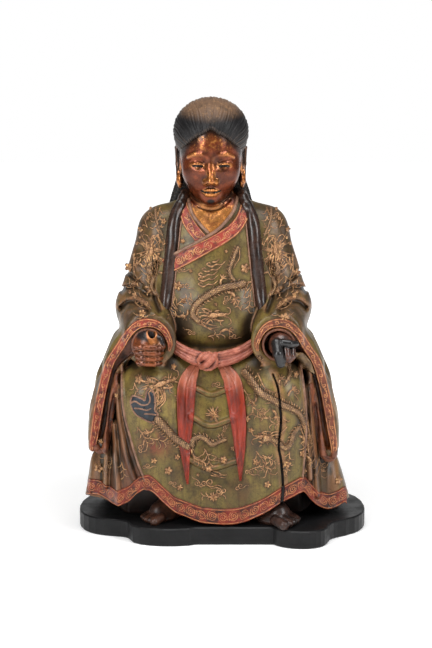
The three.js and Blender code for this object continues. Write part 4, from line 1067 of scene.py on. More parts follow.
HEAD_LINES = [
    ([(-6, -0.5), (0, 1.2), (5, 1.5)], 3.6, 2.6, 0.5),
    ([(3, 1.2), (9, 2.6), (13.5, 2)], 2.3, 1.9, 0.5),
    ([(12, 3.2), (14.5, 3.6)], 1.7, 1.3, 0.8),
    ([(1, -2.5), (7, -4.4), (12, -3.4)], 1.6, 0.9, 0.5),
    ([(3.5, 4), (5.2, 4.2)], 1.6, 1.4, 1.1),
    ([(1, 5), (4, 6.4), (7.5, 5.4)], 0.9, 0.5, 1.0),
    ([(-2, 3), (-8, 7), (-15, 6.5)], 1.2, 0.4, 0.5),
    ([(-3, 1.4), (-10, 3.6), (-17, 2)], 1.2, 0.4, 0.5),
    ([(-5, 0), (-12, -0.5), (-18, -4)], 1.1, 0.3, 0.4),
    ([(-4, -2), (-11, -4.5), (-15, -9)], 1.1, 0.3, 0.4),
    ([(-2, -3.4), (-7, -8), (-8, -12)], 1.1, 0.3, 0.4),
    ([(13, 1.6), (17.5, 4.5), (17, 9), (13.5, 10)], 0.7, 0.3, 0.5),
    ([(12, 0.6), (17.5, -1.5), (19.5, -6), (16.5, -8.5)], 0.7, 0.3, 0.5),
    ([(8, -5), (8.5, -8.5), (11.5, -10.5)], 0.7, 0.3, 0.4),
    ([(9, 0.8), (9.4, -0.8)], 0.6, 0.3, 0.8),
    ([(11.6, 0.8), (11.8, -0.8)], 0.6, 0.3, 0.8),
]


def dragon_head(place, turn, size, mirror=1):
    return [tube(placed(line, place, turn, size, mirror), radius * size, tip * size, out)
            for line, radius, tip, out in HEAD_LINES]


def claw(place, turn, size, mirror=1):
    lines = [([(-9, -3), (-4, 0.5), (0, 0)], 1.9, 1.4)]
    for spread in (-62, -22, 18, 60):
        c, s = math.cos(math.radians(spread)), math.sin(math.radians(spread))
        lines.append(([(0, 0), (3.4 * c, 3.4 * s), (6.4 * c + 0.8 * s, 6.4 * s - 0.8 * c)], 1.1, 0.3))
    return [tube(placed(line, place, turn, size, mirror), radius * size, tip * size, 0.4)
            for line, radius, tip in lines]


def body(line, radius, tip=0.5, side=1):
    """A dragon's scaled body with a row of fins along its back"""
    path = curve(line, max(int(length_of(line) / 4.6), 4))
    way = np.gradient(path, axis=0)
    way /= np.linalg.norm(way, axis=1)[:, None]
    tubes = [tube(line, radius, radius * tip, 0.35, 0.2)]
    for i in range(1, len(path) - 1):
        r = mix(radius, radius * tip, (i / len(path)) ** 1.5)
        off = np.array([-way[i, 1], way[i, 0]]) * side
        root = path[i] + off * r * 0.75
        tubes.append(tube([root, root + off * r * 0.7 - way[i] * 1.2, root + off * r * 1.1 - way[i] * 3],
                          0.75 + 0.08 * r, 0.3, 0.35))
    return tubes


def mane(line, seed, every=7.0, reach=9.0):
    """Short flame-like locks beside a line"""
    rng = np.random.default_rng(seed)
    path = curve(line, max(int(length_of(line) / every), 2))
    way = np.gradient(path, axis=0)
    way /= np.linalg.norm(way, axis=1)[:, None]
    tubes = []
    for i, spot in enumerate(path):
        side = 1 if i % 2 else -1
        off = np.array([-way[i, 1], way[i, 0]]) * side
        far = reach * rng.uniform(0.7, 1.2)
        tubes.append(tube([spot, spot + off * far * 0.5 - way[i] * 2, spot + off * far - way[i] * far * 0.8],
                          0.9, 0.3, 0.3))
    return tubes


def wisp(place, turn, size, mirror=1):
    """A small cloud: two curls and a trailing stem"""
    lines = [
        (np.array([(-4, 0)]) + curl(4, 1.3, 0.2), 1.0, 0.5),
        (np.array([(4, 1.5)]) + curl(4.6, 1.3, 2.6) * (1, -1), 1.0, 0.5),
        ([(-1, -1), (6, -4), (14, -3), (19, -6)], 1.0, 0.3),
    ]
    return [tube(placed(line, place, turn, size, mirror), radius * size, tip * size, 0.35)
            for line, radius, tip in lines]


def flip_tubes(tubes):
    return [tube([(-q[0], q[1]) for q in line], *rest) for line, *rest in tubes]


CHEST_DRAGON = [(52, 372), (36, 369), (12, 365), (-13, 352), (-29, 338), (-32, 324), (-21, 313)]
LAP_LEFT = [(-82, 220), (-80, 204), (-90, 190), (-89, 175), (-75, 157), (-59, 137), (-37, 121)]
LAP_RIGHT = [(45, 240), (56, 231), (72, 213), (88, 204), (104, 195), (118, 189), (132, 178), (141, 158)]
LAP_TAIL = [(74, 135), (87, 139), (99, 134), (110, 124), (119, 130), (124, 146), (133, 157)]
SHOULDER_DRAGON = [(97, 404), (102, 392), (95, 378), (98, 364), (90, 350)]

def star(place, size, rays, seed):
    """A bristling mane seen from the front: short rays of uneven length round a place"""
    rng = np.random.default_rng(seed)
    tubes = []
    for k in range(rays):
        turn = 2 * math.pi * k / rays + rng.uniform(-0.12, 0.12)
        far = size * rng.uniform(0.65, 1.15)
        c, s = math.cos(turn), math.sin(turn)
        bend = rng.uniform(-0.3, 0.3) * far
        line = [(3 * c, 3 * s), (far * 0.6 * c - bend * s * 0.4, far * 0.6 * s + bend * c * 0.4),
                (far * c - bend * s, far * s + bend * c)]
        tubes.append(tube(placed(line, place, 0, 1), 1.2, 0.5, 0.5))
        if k % 2:
            tip = placed([line[1], (line[1][0] * 1.05, line[1][1] * 1.05)], place, 0, 1)
            tubes.append(tube(tip, 1.8, 1.5, 0.7))
    return tubes


def strands(line, count, spread, radius, seed):
    """Wavy strands flowing side by side along a line"""
    rng = np.random.default_rng(seed)
    path = curve(line, 12)
    way = np.gradient(path, axis=0)
    way /= np.linalg.norm(way, axis=1)[:, None]
    off = np.stack([-way[:, 1], way[:, 0]], 1)
    t = np.linspace(0, 1, len(path))[:, None]
    tubes = []
    for k in range(count):
        lane = (k / max(count - 1, 1) - 0.5) * spread
        sway = 1.5 * np.sin(t * rng.uniform(5, 9) + rng.uniform(0, 6))
        reach = int(rng.uniform(8, 13))
        tubes.append(tube((path + off * (lane * (1 - 0.4 * t) + sway))[:reach], radius, 0.4, 0.45))
    return tubes


CLOUD_STROKES = [(-8, 400), (-15, 392), (-21, 384), (-21, 377), (-21, 369)]


def cloud_strokes():
    tubes = [tube([(-2, 406), (4, 406), (10, 411)], 1.3, 0.8)]
    for x, z in CLOUD_STROKES:
        tubes.append(tube([(x, z), (x + 6, z - 1.5), (x + 13, z + 2), (x + 20, z + 1.5), (x + 28, z + 8)], 1.7, 0.8))
        tubes.append(tube([(x, z), (x - 2.5, z + 2.5), (x + 1.5, z + 4.5), (x + 4, z + 2)], 1.2, 0.8))
    return tubes


def fronds(place, turn, count, size, seed):
    """A spray of short curved leaves on both sides of a stem"""
    rng = np.random.default_rng(seed)
    tubes = [tube(placed([(0, 0), (size * 0.5, size * 0.06), (size, 0)], place, turn, 1), 1.0, 0.4)]
    for k in range(count):
        at, side = size * (k + 0.7) / count, 1 if k % 2 else -1
        far = size * rng.uniform(0.28, 0.42)
        line = [(at, 0), (at + far * 0.5, side * far * 0.5), (at + far * 0.4, side * far)]
        tubes.append(tube(placed(line, place, turn, 1), 1.0, 0.35))
    return tubes


gilt_tubes = [
    *body(CHEST_DRAGON, 6.0, 0.75),
    *mane(CHEST_DRAGON[1:5], 5, 6, 9),
    *dragon_head((0, 323), -4, 1.45),
    *star((-6, 322), 15, 11, 6),
    *strands([(-24, 316), (-8, 306), (14, 305)], 3, 7, 1.3, 7),
    *claw((24, 300), -10, 1.4),
    *claw((33, 350), -60, 1.6),
    *star((33, 346), 9, 9, 8),
    *claw((-58, 322), 170, 1.2),
    *body([(-72, 321), (-54, 326), (-34, 312)], 2.6, 0.8),
    tube([(52, 372), (62, 374), (70, 377)], 1.6, 0.8),
    *body([(39, 430), (32, 413), (25, 390), (35, 373)], 3.0, 0.9, -1),
    *strands([(40, 428), (36, 410), (30, 392)], 2, 6, 1.0, 9),
    *cloud_strokes(),
    *body(LAP_LEFT[3:], 7.0, 0.8, -1),
    *strands(LAP_LEFT[:4], 5, 13, 1.5, 10),
    *star((-84, 204), 10, 9, 11), *star((-86, 186), 8, 8, 12),
    *body([(-33, 121), (-32, 133), (-21, 138), (-10, 133), (-2, 126), (10, 131), (21, 134)], 4.6, 0.5),
    *dragon_head((-80, 224), 4, 1.5),
    *star((-96, 225), 15, 13, 13), *star((-68, 226), 12, 10, 14),
    *claw((-112, 232), 150, 1.3),
    *body(LAP_RIGHT, 6.2, 0.7),
    *strands([(60, 232), (76, 214), (96, 204), (120, 192)], 3, 18, 1.3, 15),
    *body(LAP_TAIL, 4.6, 0.7),
    *strands([(70, 142), (88, 146), (100, 139)], 3, 9, 1.1, 16),
    tube([(104, 146), (109, 153), (114, 159)], 1.8, 1.2),
    *dragon_head((84, 140), 186, 1.3, -1),
    *star((80, 140), 12, 10, 17),
    *claw((122, 216), 30, 1.2),
    *claw((62, 196), 235, 1.3),
    *claw((140, 132), -70, 1.3),
    *fronds((141, 150), -80, 7, 34, 18),
    *fronds((66, 118), -60, 8, 40, 19),
    *fronds((60, 90), 10, 6, 30, 20),
    tube([(-36, 121), (-29, 106), (-13, 97), (-16, 87)], 2.2, 1.2),
    *fronds((-33, 110), -35, 6, 24, 21),
    *mane(LAP_RIGHT[2:], 2, 11, 11),
    *wisp((-50, 392), 20, 0.9), *wisp((-62, 350), -80, 0.8, -1), *wisp((-44, 367), 0, 0.8),
    *wisp((4, 216), 0, 0.9), *wisp((-10, 66), 5, 1.2), *wisp((12, 56), 180, 1.0),
    *wisp((-104, 94), 20, 0.8), *wisp((18, 150), 70, 0.7), *wisp((112, 84), 100, 0.8),
    *fronds((-122, 226), -70, 6, 26, 31), *fronds((-60, 206), -30, 6, 24, 32), *fronds((-52, 176), 40, 5, 22, 33),
    *fronds((-118, 158), -60, 7, 34, 34), *fronds((-98, 140), -20, 6, 30, 35), *wisp((-112, 122), 80, 0.8),
    *fronds((46, 214), -60, 6, 26, 36), *fronds((58, 190), -40, 6, 28, 37), *fronds((118, 168), 190, 6, 30, 38),
    *fronds((86, 172), 170, 6, 28, 39), *wisp((76, 182), 40, 0.8), *wisp((126, 214), -60, 0.9),
    *fronds((76, 112), -30, 6, 28, 40), *fronds((118, 118), -100, 6, 26, 41), *wisp((56, 84), 0, 0.9),
    *fronds((-14, 120), -70, 6, 26, 42), *wisp((6, 104), 160, 0.7), *wisp((-22, 66), 150, 0.9),
    *fronds((-4, 46), 8, 5, 20, 43), *fronds((2, 46), 172, 5, 20, 44), *wisp((40, 60), 30, 0.8),
    *wisp((-64, 66), -20, 0.8), *wisp((-36, 344), 100, 0.7), *fronds((44, 330), 120, 5, 20, 45),
    *fronds((-58, 338), 30, 6, 26, 46), *wisp((30, 288), 10, 0.8), *wisp((-34, 296), 170, 0.8),
    *fronds((-8, 290), 10, 5, 22, 47), *wisp((58, 412), 90, 0.7), *fronds((58, 356), -100, 6, 26, 48),
    *mane(LAP_LEFT[3:], 56, 8, 11), *mane(LAP_TAIL, 57, 8, 9), *mane([(-33, 121), (-21, 138), (10, 131)], 58, 7, 8),
    *claw((-100, 150), 200, 1.2), *claw((-44, 140), 60, 1.2), *claw((96, 176), -80, 1.3), *claw((104, 232), 60, 1.2),
    *claw((14, 380), 60, 1.2), *claw((-44, 322), 230, 1.2), *strands([(60, 372), (50, 352), (56, 330)], 3, 8, 1.1, 59),
    *strands([(-60, 330), (-66, 346), (-58, 360)], 3, 8, 1.1, 60), *wisp((20, 346), 60, 0.9),
    *strands([(142, 158), (146, 134), (148, 110), (156, 84)], 5, 13, 1.6, 68),
    *mane([(144, 150), (148, 112), (157, 82)], 69, 6, 11), *claw((152, 96), -70, 1.3),
    *star((148, 128), 9, 10, 70), *fronds((166, 96), -80, 6, 34, 71), *fronds((-172, 96), -100, 6, 30, 72),
    *wisp((176, 76), 60, 0.9), *wisp((-164, 84), 90, 0.8), *fronds((-144, 96), -80, 5, 24, 73),
    *star((12, 136), 8, 9, 61), *strands([(-2, 84), (10, 78), (24, 80)], 3, 7, 1.1, 62),
]
beads = [[(70, 265), (67, 252), (67, 237), (79, 221)], [(116, 265), (118, 249), (116, 232), (107, 226)]]
gilt_tubes += [tube(line, 2.2, 1.8, 0.5, 0.45) for line in beads]
sleeve_tubes = [
    *dragon_head((99, 421), 84, 1.3),
    *star((99, 421), 23, 19, 22),
    *body(SHOULDER_DRAGON, 4.6, 0.6),
    *strands([(100, 410), (96, 392), (98, 372), (90, 348)], 5, 18, 1.5, 23),
    *fronds((84, 488), -80, 7, 34, 24),
    tube([(91, 487), (90, 470), (79, 443)], 2.6, 1.6, 0.3, 0.2),
    *mane([(88, 468), (84, 452)], 4, 5, 7),
    *claw((118, 400), 20, 1.0),
    *claw((76, 388), 160, 1.0),
    *wisp((122, 442), -40, 0.9), *wisp((128, 362), 80, 0.9), *wisp((108, 344), 10, 0.8, -1),
    *wisp((126, 410), 60, 0.8, -1), *wisp((90, 330), 0, 0.7),
    *star((99, 421), 11, 13, 49), *fronds((118, 430), 40, 6, 28, 50), *fronds((80, 430), 140, 5, 22, 51),
    *fronds((112, 382), -50, 6, 28, 52), *fronds((104, 456), 60, 6, 26, 53), *wisp((98, 474), 20, 0.8),
    *fronds((124, 342), 200, 6, 26, 54), *fronds((96, 336), 20, 5, 22, 55), *wisp((136, 330), 100, 0.8),
    *claw((104, 350), -80, 1.1),
    *mane([(99, 440), (100, 404), (96, 372)], 63, 6, 15), *mane([(110, 356), (118, 336), (112, 316)], 64, 6, 10),
    *star((110, 324), 10, 11, 65), *strands([(120, 410), (124, 392), (118, 372)], 3, 9, 1.2, 66),
    *wisp((84, 404), 90, 0.8), *strands([(90, 446), (84, 430), (86, 412)], 3, 9, 1.1, 67),
]
sleeve_tubes += flip_tubes(sleeve_tubes)
FLOWERS = [
    (50, 395, 8.5), (-56, 367, 8.5), (-47, 345, 5), (4, 341, 3), (20, 422, 3), (-36, 391, 3.5), (-48, 437, 4.5),
    (-134, 392, 8), (131, 384, 8), (-110, 330, 6.5), (110, 324, 8), (112, 344, 6), (-78, 467, 5.5), (118, 452, 5),
    (-116, 452, 5), (-124, 352, 5), (128, 352, 5), (-115, 231, 7), (-92, 104, 5.5), (-70, 87, 7), (-7, 89, 6.5),
    (16, 103, 6.5), (-24, 80, 3), (114, 99, 7.5), (139, 112, 6), (52, 168, 6), (58, 150, 5), (-184, 73, 8.5),
    (200, 54, 7), (-150, 200, 5), (-62, 246, 5), (-52, 60, 5.5), (84, 66, 6), (142, 82, 5), (-178, 122, 5),
    (66, 100, 5.5), (30, 120, 4), (-56, 108, 5), (30, 216, 4), (128, 236, 5),
]
BEADS = [(88, 478), (104, 470), (122, 430), (84, 436), (114, 414), (92, 396), (124, 398), (106, 364), (90, 352),
         (120, 376), (132, 356), (100, 484), (116, 440), (86, 416), (126, 412), (110, 396)]


def petals(count, depth, rise):
    def height(r, turn):
        lobe = np.abs(np.cos(turn * count / 2))
        reach = 1 - depth * (1 - lobe)
        dome = rise * (np.sin(math.pi * np.clip(r, 0, 1) ** 0.8) * (0.55 + 0.45 * lobe) + 0.25)
        eye = rise * 0.9 * bump(r, 0.34)
        return dome * (r > 0.01) + eye, reach
    return height


gilt_tubes += body([(73, 264), (71, 250), (66, 238), (58, 228)], 3.4, 0.5)
gilt_tubes += body([(116, 250), (118, 240), (113, 230), (108, 222)], 3.2, 0.5)
gilt_parts = laid_tubes(gilt_tubes, ends_at_edge=True)
gilt_parts += [rosette((x, z), size, petals(5, 0.38, 1.2 + 0.2 * size)) for x, z, size in FLOWERS]
gilt_parts += laid_tubes(star((0, 172), 13, 21, 25) + star((0, 172), 7, 12, 26))
gilt_parts += [rosette((0, 172), 7, petals(7, 0.3, 3.4), 10, 60), rosette((0, 46), 8, petals(8, 0.4, 2.4), 10, 64)]
for part in gilt_parts:
    part[0][:, 1] += 5 * smooth(0.3, -0.5, crack_gap(part[0][:, 0], part[0][:, 2]))
gilt_piece = one_piece("gilt_relief", gilt_parts)
x, _, z = points_of(gilt_piece).T
# Painted shade: near black where the relief sinks into the crack
set_values(gilt_piece, "split", smooth(0.5, -0.3, crack_gap(x, z)))
bead = petals(1, 0, 2.6)
sleeve_parts = laid_tubes(sleeve_tubes, ends_at_edge=True)
sleeve_parts += [rosette((side * x, z), 2.6, bead, 4, 12) for side in (-1, 1) for x, z in BEADS]
sleeve_piece = one_piece("sleeve_relief", sleeve_parts)


def grime_and_shade_round_relief(x, z):
    """How much grime and painted shade lie round the relief"""
    spots = np.concatenate([part[0][:, [0, 2]] for part in gilt_parts + sleeve_parts])
    edges = [np.append(x[:, 0], x[-1, 0] + 1), np.append(z[0], z[0, -1] + 1)]
    total = np.minimum(np.histogram2d(*spots.T, bins=edges)[0], 1)
    for _ in range(5):
        for axis in (0, 1):
            total = (np.roll(total, 1, axis) + total + np.roll(total, -1, axis)) / 3
    return np.clip(total * 3.2, 0, 1)


darkened = Chart(grime_and_shade_round_relief)
# A darker patch low on the left of the belly
belly_patch = smooth(1.12, 0.88, np.hypot((px + 56) / 26, (pz - 303) / 17))
set_values(robe_piece, "darkened", np.maximum(darkened(px, pz), 1.2 * belly_patch) * (py < 10))
# Painted shade: near black down the crack
set_values(robe_piece, "split", smooth(0.5, -0.3, crack_gap(px, pz)) * (py < 0))
set_values(robe_piece, "lit", smooth(165, 120, pz) * smooth(150, 165, px))

INK_CENTRE = (-106, 190)
INK_EDGE = [(-22, 5), (-18, 17), (-4, 14), (1, 12), (5, 28), (14, 24), (17, 8), (16, -4), (21, -12), (14, -24),
            (-1, -19), (-15, -10), (-22, 5)]
INK_LINES = [
    [(-22, 5), (-14, 9), (-4, 4), (6, 6), (10, 16)],
    [(-16, -2), (-6, -2), (4, -4), (12, 0)],
    [(6, 24), (9, 14), (8, 6)],
    [(20, -12), (8, -10), (-2, -10)],
]


def ink_patch(r, turn):
    angles = [math.atan2(v, u) for u, v in INK_EDGE[:-1]]
    reach = [math.hypot(u, v) for u, v in INK_EDGE[:-1]]
    order = np.argsort(angles)
    edge = np.interp(turn, np.array(angles)[order], np.array(reach)[order], period=2 * math.pi)
    return 1.6 * smooth(1.02, 0.8, np.asarray(r)) + 0 * turn, edge


ink_piece = one_piece("ink_relief", [rosette(INK_CENTRE, 1, ink_patch, 16, 90)])
edge_lines = [placed(line, INK_CENTRE, 0, 1) for line in [INK_EDGE, *INK_LINES]]
NECK_LINES = [
    [(-41, 508), (-34, 481), (-21, 464), (-7, 450)],
    [(39, 508), (32, 485), (21, 470), (7, 456), (-9, 446), (-36, 431), (-64, 416), (-76, 410)],
]
pipings = [tube(line, 1.5, 1.2, 0.9) for line in edge_lines]
pipings += [tube(line, 2.8, 2.6, 1.6) for line in NECK_LINES]
pipings += [tube(line, 2.2, 1.6, 0.7) for line in (PANEL_LEFT, PANEL_RIGHT)]
pipings += [tube([(x * side - side * 10.5, z) for x, z in LAPEL[1:]], 1.4, 1.2, 0.9) for side in (-1, 1)]
piping_piece = one_piece("piping", laid_tubes(pipings))


# Materials


def tone(red, green, blue):
    """A colour from its 0 to 255 values on a screen"""
    def straight(v):
        v = v / 255
        return v / 12.92 if v <= 0.04045 else ((v + 0.055) / 1.055) ** 2.4
    return (straight(red), straight(green), straight(blue), 1)


class Paint:
    """A procedural material, mixed from noise and from the zones kept on each piece's points"""

    def __init__(self, name):
        self.material = bpy.data.materials.new(name)
        self.material.use_nodes = True
        self.tree = self.material.node_tree
        self.shader = self.tree.nodes["Principled BSDF"]
        self.place = self.add("ShaderNodeTexCoord").outputs["Object"]
        self.bumps = None

    def add(self, kind, **settings):
        node = self.tree.nodes.new(kind)
        for key, value in settings.items():
            setattr(node, key, value)
        return node

    def put(self, value, socket):
        if isinstance(value, bpy.types.NodeSocket):
            self.tree.links.new(value, socket)
        else:
            socket.default_value = value

    def noise(self, size, detail=4, rough=0.6, stretch=(1, 1, 1)):
        """Noise with swells of that size in mm"""
        scaled = self.add("ShaderNodeMapping")
        self.put(self.place, scaled.inputs["Vector"])
        scaled.inputs["Scale"].default_value = tuple(1 / (size * MM * s) for s in stretch)
        node = self.add("ShaderNodeTexNoise")
        self.put(scaled.outputs["Vector"], node.inputs["Vector"])
        node.inputs["Scale"].default_value = 1
        node.inputs["Detail"].default_value = detail
        node.inputs["Roughness"].default_value = rough
        return node.outputs["Fac"]

    def cracks(self, size, width=0.04):
        """1 along the fine lines of a crackled skin"""
        scaled = self.add("ShaderNodeMapping")
        self.put(self.place, scaled.inputs["Vector"])
        scaled.inputs["Scale"].default_value = (1 / (size * MM),) * 3
        node = self.add("ShaderNodeTexVoronoi", feature="DISTANCE_TO_EDGE")
        self.put(scaled.outputs["Vector"], node.inputs["Vector"])
        node.inputs["Scale"].default_value = 1
        return self.ramp(node.outputs["Distance"], width, 0)

    def zone(self, name):
        return self.add("ShaderNodeAttribute", attribute_name=name).outputs["Fac"]

    def ramp(self, value, low, high, start=0, end=1):
        node = self.add("ShaderNodeMapRange", interpolation_type="SMOOTHSTEP")
        self.put(value, node.inputs["Value"])
        for key, number in (("From Min", low), ("From Max", high), ("To Min", start), ("To Max", end)):
            node.inputs[key].default_value = number
        return node.outputs["Result"]

    def maths(self, kind, a, b):
        node = self.add("ShaderNodeMath", operation=kind)
        self.put(a, node.inputs[0])
        self.put(b, node.inputs[1])
        return node.outputs[0]

    def blend(self, under, over, amount):
        node = self.add("ShaderNodeMix", data_type="RGBA")
        self.put(amount, node.inputs["Factor"])
        self.put(under, node.inputs[6])
        self.put(over, node.inputs[7])
        return node.outputs[2]

    def emboss(self, height, depth, strength=1.0):
        node = self.add("ShaderNodeBump")
        self.put(height, node.inputs["Height"])
        node.inputs["Distance"].default_value = depth * MM
        node.inputs["Strength"].default_value = strength
        if self.bumps:
            self.put(self.bumps, node.inputs["Normal"])
        self.bumps = node.outputs["Normal"]

    def finish(self, colour, roughness, metallic=0.0, coat=0.0, shine=0.3):
        self.put(colour, self.shader.inputs["Base Color"])
        self.put(roughness, self.shader.inputs["Roughness"])
        self.put(metallic, self.shader.inputs["Metallic"])
        self.put(coat, self.shader.inputs["Coat Weight"])
        self.put(shine, self.shader.inputs["Specular IOR Level"])
        self.shader.inputs["Coat Roughness"].default_value = 0.3
        if self.bumps:
            self.put(self.bumps, self.shader.inputs["Normal"])
        return self.material


def aged_and_shaded(paint, colour, dark, hollow=None, grime=0.6):
    """Darker in patches and specks of grime, with grime and painted shade in the hollows when given, and a fine
    crackle
    """
    patches = paint.ramp(paint.noise(28, 6, 0.65), 0.42, 0.72)
    specks = paint.ramp(paint.noise(3.5, 5, 0.7), 0.52, 0.75)
    colour = paint.blend(colour, dark, paint.maths("MULTIPLY", patches, grime))
    colour = paint.blend(colour, dark, paint.maths("MULTIPLY", specks, 0.55))
    # Grime and painted shade in the hollows
    if hollow is not None:
        colour = paint.blend(colour, dark, hollow)
    paint.emboss(paint.noise(2.2, 4, 0.6), 0.25, 0.5)
    return colour


def robe_lacquer():
    paint = Paint("robe_lacquer")
    olive = paint.blend(tone(118, 101, 48), tone(86, 72, 36), paint.ramp(paint.noise(45, 5, 0.6, (1, 1, 2)), 0.35, 0.65))
    # Painted highlight on the knees
    olive = paint.blend(olive, tone(150, 128, 58), paint.maths("MULTIPLY", paint.zone("knee_highlight"), 0.8))
    rubbed = paint.ramp(paint.noise(20, 8, 0.78, (1, 1, 2.5)), 0.46, 0.64)
    olive = paint.blend(olive, tone(88, 56, 34), paint.maths("MULTIPLY", rubbed, 0.55))
    side = paint.blend(tone(104, 60, 39), tone(50, 31, 22), paint.ramp(paint.noise(13, 5, 0.6, (1, 1, 4)), 0.4, 0.6))
    olive = paint.blend(olive, side, paint.maths("MULTIPLY", paint.zone("worn"), 0.9))
    reds = paint.ramp(paint.noise(9, 6, 0.75, (1, 1, 3)), 0.36, 0.54)
    olive = paint.blend(olive, tone(116, 46, 31), paint.maths("MULTIPLY", paint.zone("rubbed"), reds))
    # Darker round the relief, grime with painted shade, and on a patch of the belly
    olive = paint.blend(olive, tone(66, 46, 28), paint.maths("MULTIPLY", paint.zone("darkened"), 0.65))
    grey = paint.maths("MULTIPLY", paint.zone("arms"), paint.ramp(paint.noise(26, 6, 0.7), 0.5, 0.62))
    olive = paint.blend(olive, tone(126, 108, 98), paint.maths("MULTIPLY", grey, 0.4))
    drips = paint.ramp(paint.noise(6, 6, 0.7, (1, 1, 7)), 0.5, 0.68)
    olive = paint.blend(olive, tone(64, 44, 28), paint.maths("MULTIPLY", drips, 0.5))
    # Grime and painted shade in the folds and recesses, where the space before the cloth closes in
    hollow = paint.ramp(paint.zone("open"), 0.92, 0.4, 0, 0.92)
    colour = aged_and_shaded(paint, olive, tone(34, 25, 15), hollow, grime=0.7)
    # Lighter on ridges, in patches: wear rubbed through the lacquer, with a painted highlight
    rub_and_highlight = paint.ramp(paint.noise(16, 5, 0.6, (1, 1, 3)), 0.34, 0.6)
    ridge = paint.maths("MULTIPLY", paint.ramp(paint.zone("ridge"), 0.16, 0.5), rub_and_highlight)
    colour = paint.blend(colour, tone(152, 106, 72), paint.maths("MULTIPLY", ridge, 0.6))
    inside = paint.blend(tone(128, 74, 48), tone(64, 40, 28), paint.ramp(paint.noise(16, 5), 0.35, 0.65))
    inside = paint.blend(inside, tone(170, 98, 46), paint.maths("MULTIPLY", paint.zone("lit"), 0.8))
    colour = paint.blend(colour, inside, paint.zone("lining"))
    # Painted shade under the hem
    colour = paint.blend(colour, tone(26, 20, 18), paint.maths("MULTIPLY", paint.zone("under"), 0.92))
    lines = paint.cracks(9)
    colour = paint.blend(colour, tone(34, 25, 15), paint.maths("MULTIPLY", lines, 0.35))
    # Painted shade down the crack
    colour = paint.blend(colour, tone(16, 12, 9), paint.zone("split"))
    return paint.finish(colour, paint.ramp(paint.noise(20, 5), 0.35, 0.7, 0.34, 0.5), 0.0, 0.16)


def trim_lacquer(name, red, dark_red, gold):
    paint = Paint(name)
    ground = paint.blend(red, dark_red, paint.ramp(paint.noise(14, 6, 0.7), 0.4, 0.66))
    ground = paint.blend(ground, tone(104, 66, 46), paint.maths("MULTIPLY", paint.zone("brown"), 0.6))
    ground = aged_and_shaded(paint, ground, tone(44, 24, 17), grime=0.75)
    gilt = paint.maths("MULTIPLY", paint.ramp(paint.zone("gilt"), 0.25, 0.7),
                       paint.ramp(paint.noise(9, 5, 0.7), 0.62, 0.46, 0.2, 1))
    colour = paint.blend(ground, gold, gilt)
    # Painted shade: near black where the gilt is below zero, down the crack
    colour = paint.blend(colour, tone(18, 12, 9), paint.ramp(paint.zone("gilt"), -0.1, -0.6))
    return paint.finish(colour, 0.4, paint.maths("MULTIPLY", gilt, 0.25), 0.1)


def gilt_lacquer(name, gold, shade, under, metal=0.3):
    paint = Paint(name)
    colour = paint.blend(gold, shade, paint.ramp(paint.noise(9, 6, 0.72), 0.38, 0.62))
    colour = paint.blend(colour, tone(118, 92, 68), paint.maths("MULTIPLY", paint.zone("dull"), 0.55))
    # Painted shade and highlight: the dark under colour low on the cords' sides and between scales, gold on their
    # fronts
    colour = paint.blend(under, colour, paint.ramp(paint.zone("proud"), 0.0, 0.95))
    wear = paint.ramp(paint.noise(6, 6, 0.75), 0.52, 0.64)
    colour = paint.blend(colour, under, paint.maths("MULTIPLY", wear, 0.75))
    glints = paint.maths("MULTIPLY", paint.ramp(paint.noise(4, 5, 0.7), 0.54, 0.62), paint.ramp(paint.zone("proud"), 0.5, 1.1))
    colour = paint.blend(colour, tone(226, 182, 118), paint.maths("MULTIPLY", glints, 0.7))
    # Painted shade down the crack
    colour = paint.blend(colour, tone(16, 12, 9), paint.zone("split"))
    paint.emboss(paint.noise(1.6, 3), 0.35, 0.6)
    return paint.finish(colour, 0.4, metal, 0.1)


def plain_lacquer(name, light, dark, darkest, size=20, rough=(0.35, 0.55), coat=0.2, stretch=(1, 1, 1), metal=0.0,
                  zones=False, over=None, proud=None):
    """Mottled lacquer, with grime and painted shade in the hollows when zones are on; one more colour over the dark
    zone, a painted highlight on ridges
    """
    paint = Paint(name)
    colour = paint.blend(light, dark, paint.ramp(paint.noise(size, 6, 0.65, stretch), 0.38, 0.66))
    # Grime and painted shade in the hollows
    hollow = paint.ramp(paint.zone("open"), 0.9, 0.25, 0, 0.9) if zones else None
    if over:
        colour = paint.blend(colour, over, paint.zone("dark"))
    # Painted highlight on the ridges
    if proud:
        colour = paint.blend(colour, proud, paint.ramp(paint.zone("ridge"), 0.12, 0.5, 0, 0.75))
    colour = aged_and_shaded(paint, colour, darkest, hollow, grime=0.4)
    return paint.finish(colour, paint.ramp(paint.noise(size * 0.7, 5), 0.35, 0.7, *rough), metal, coat)


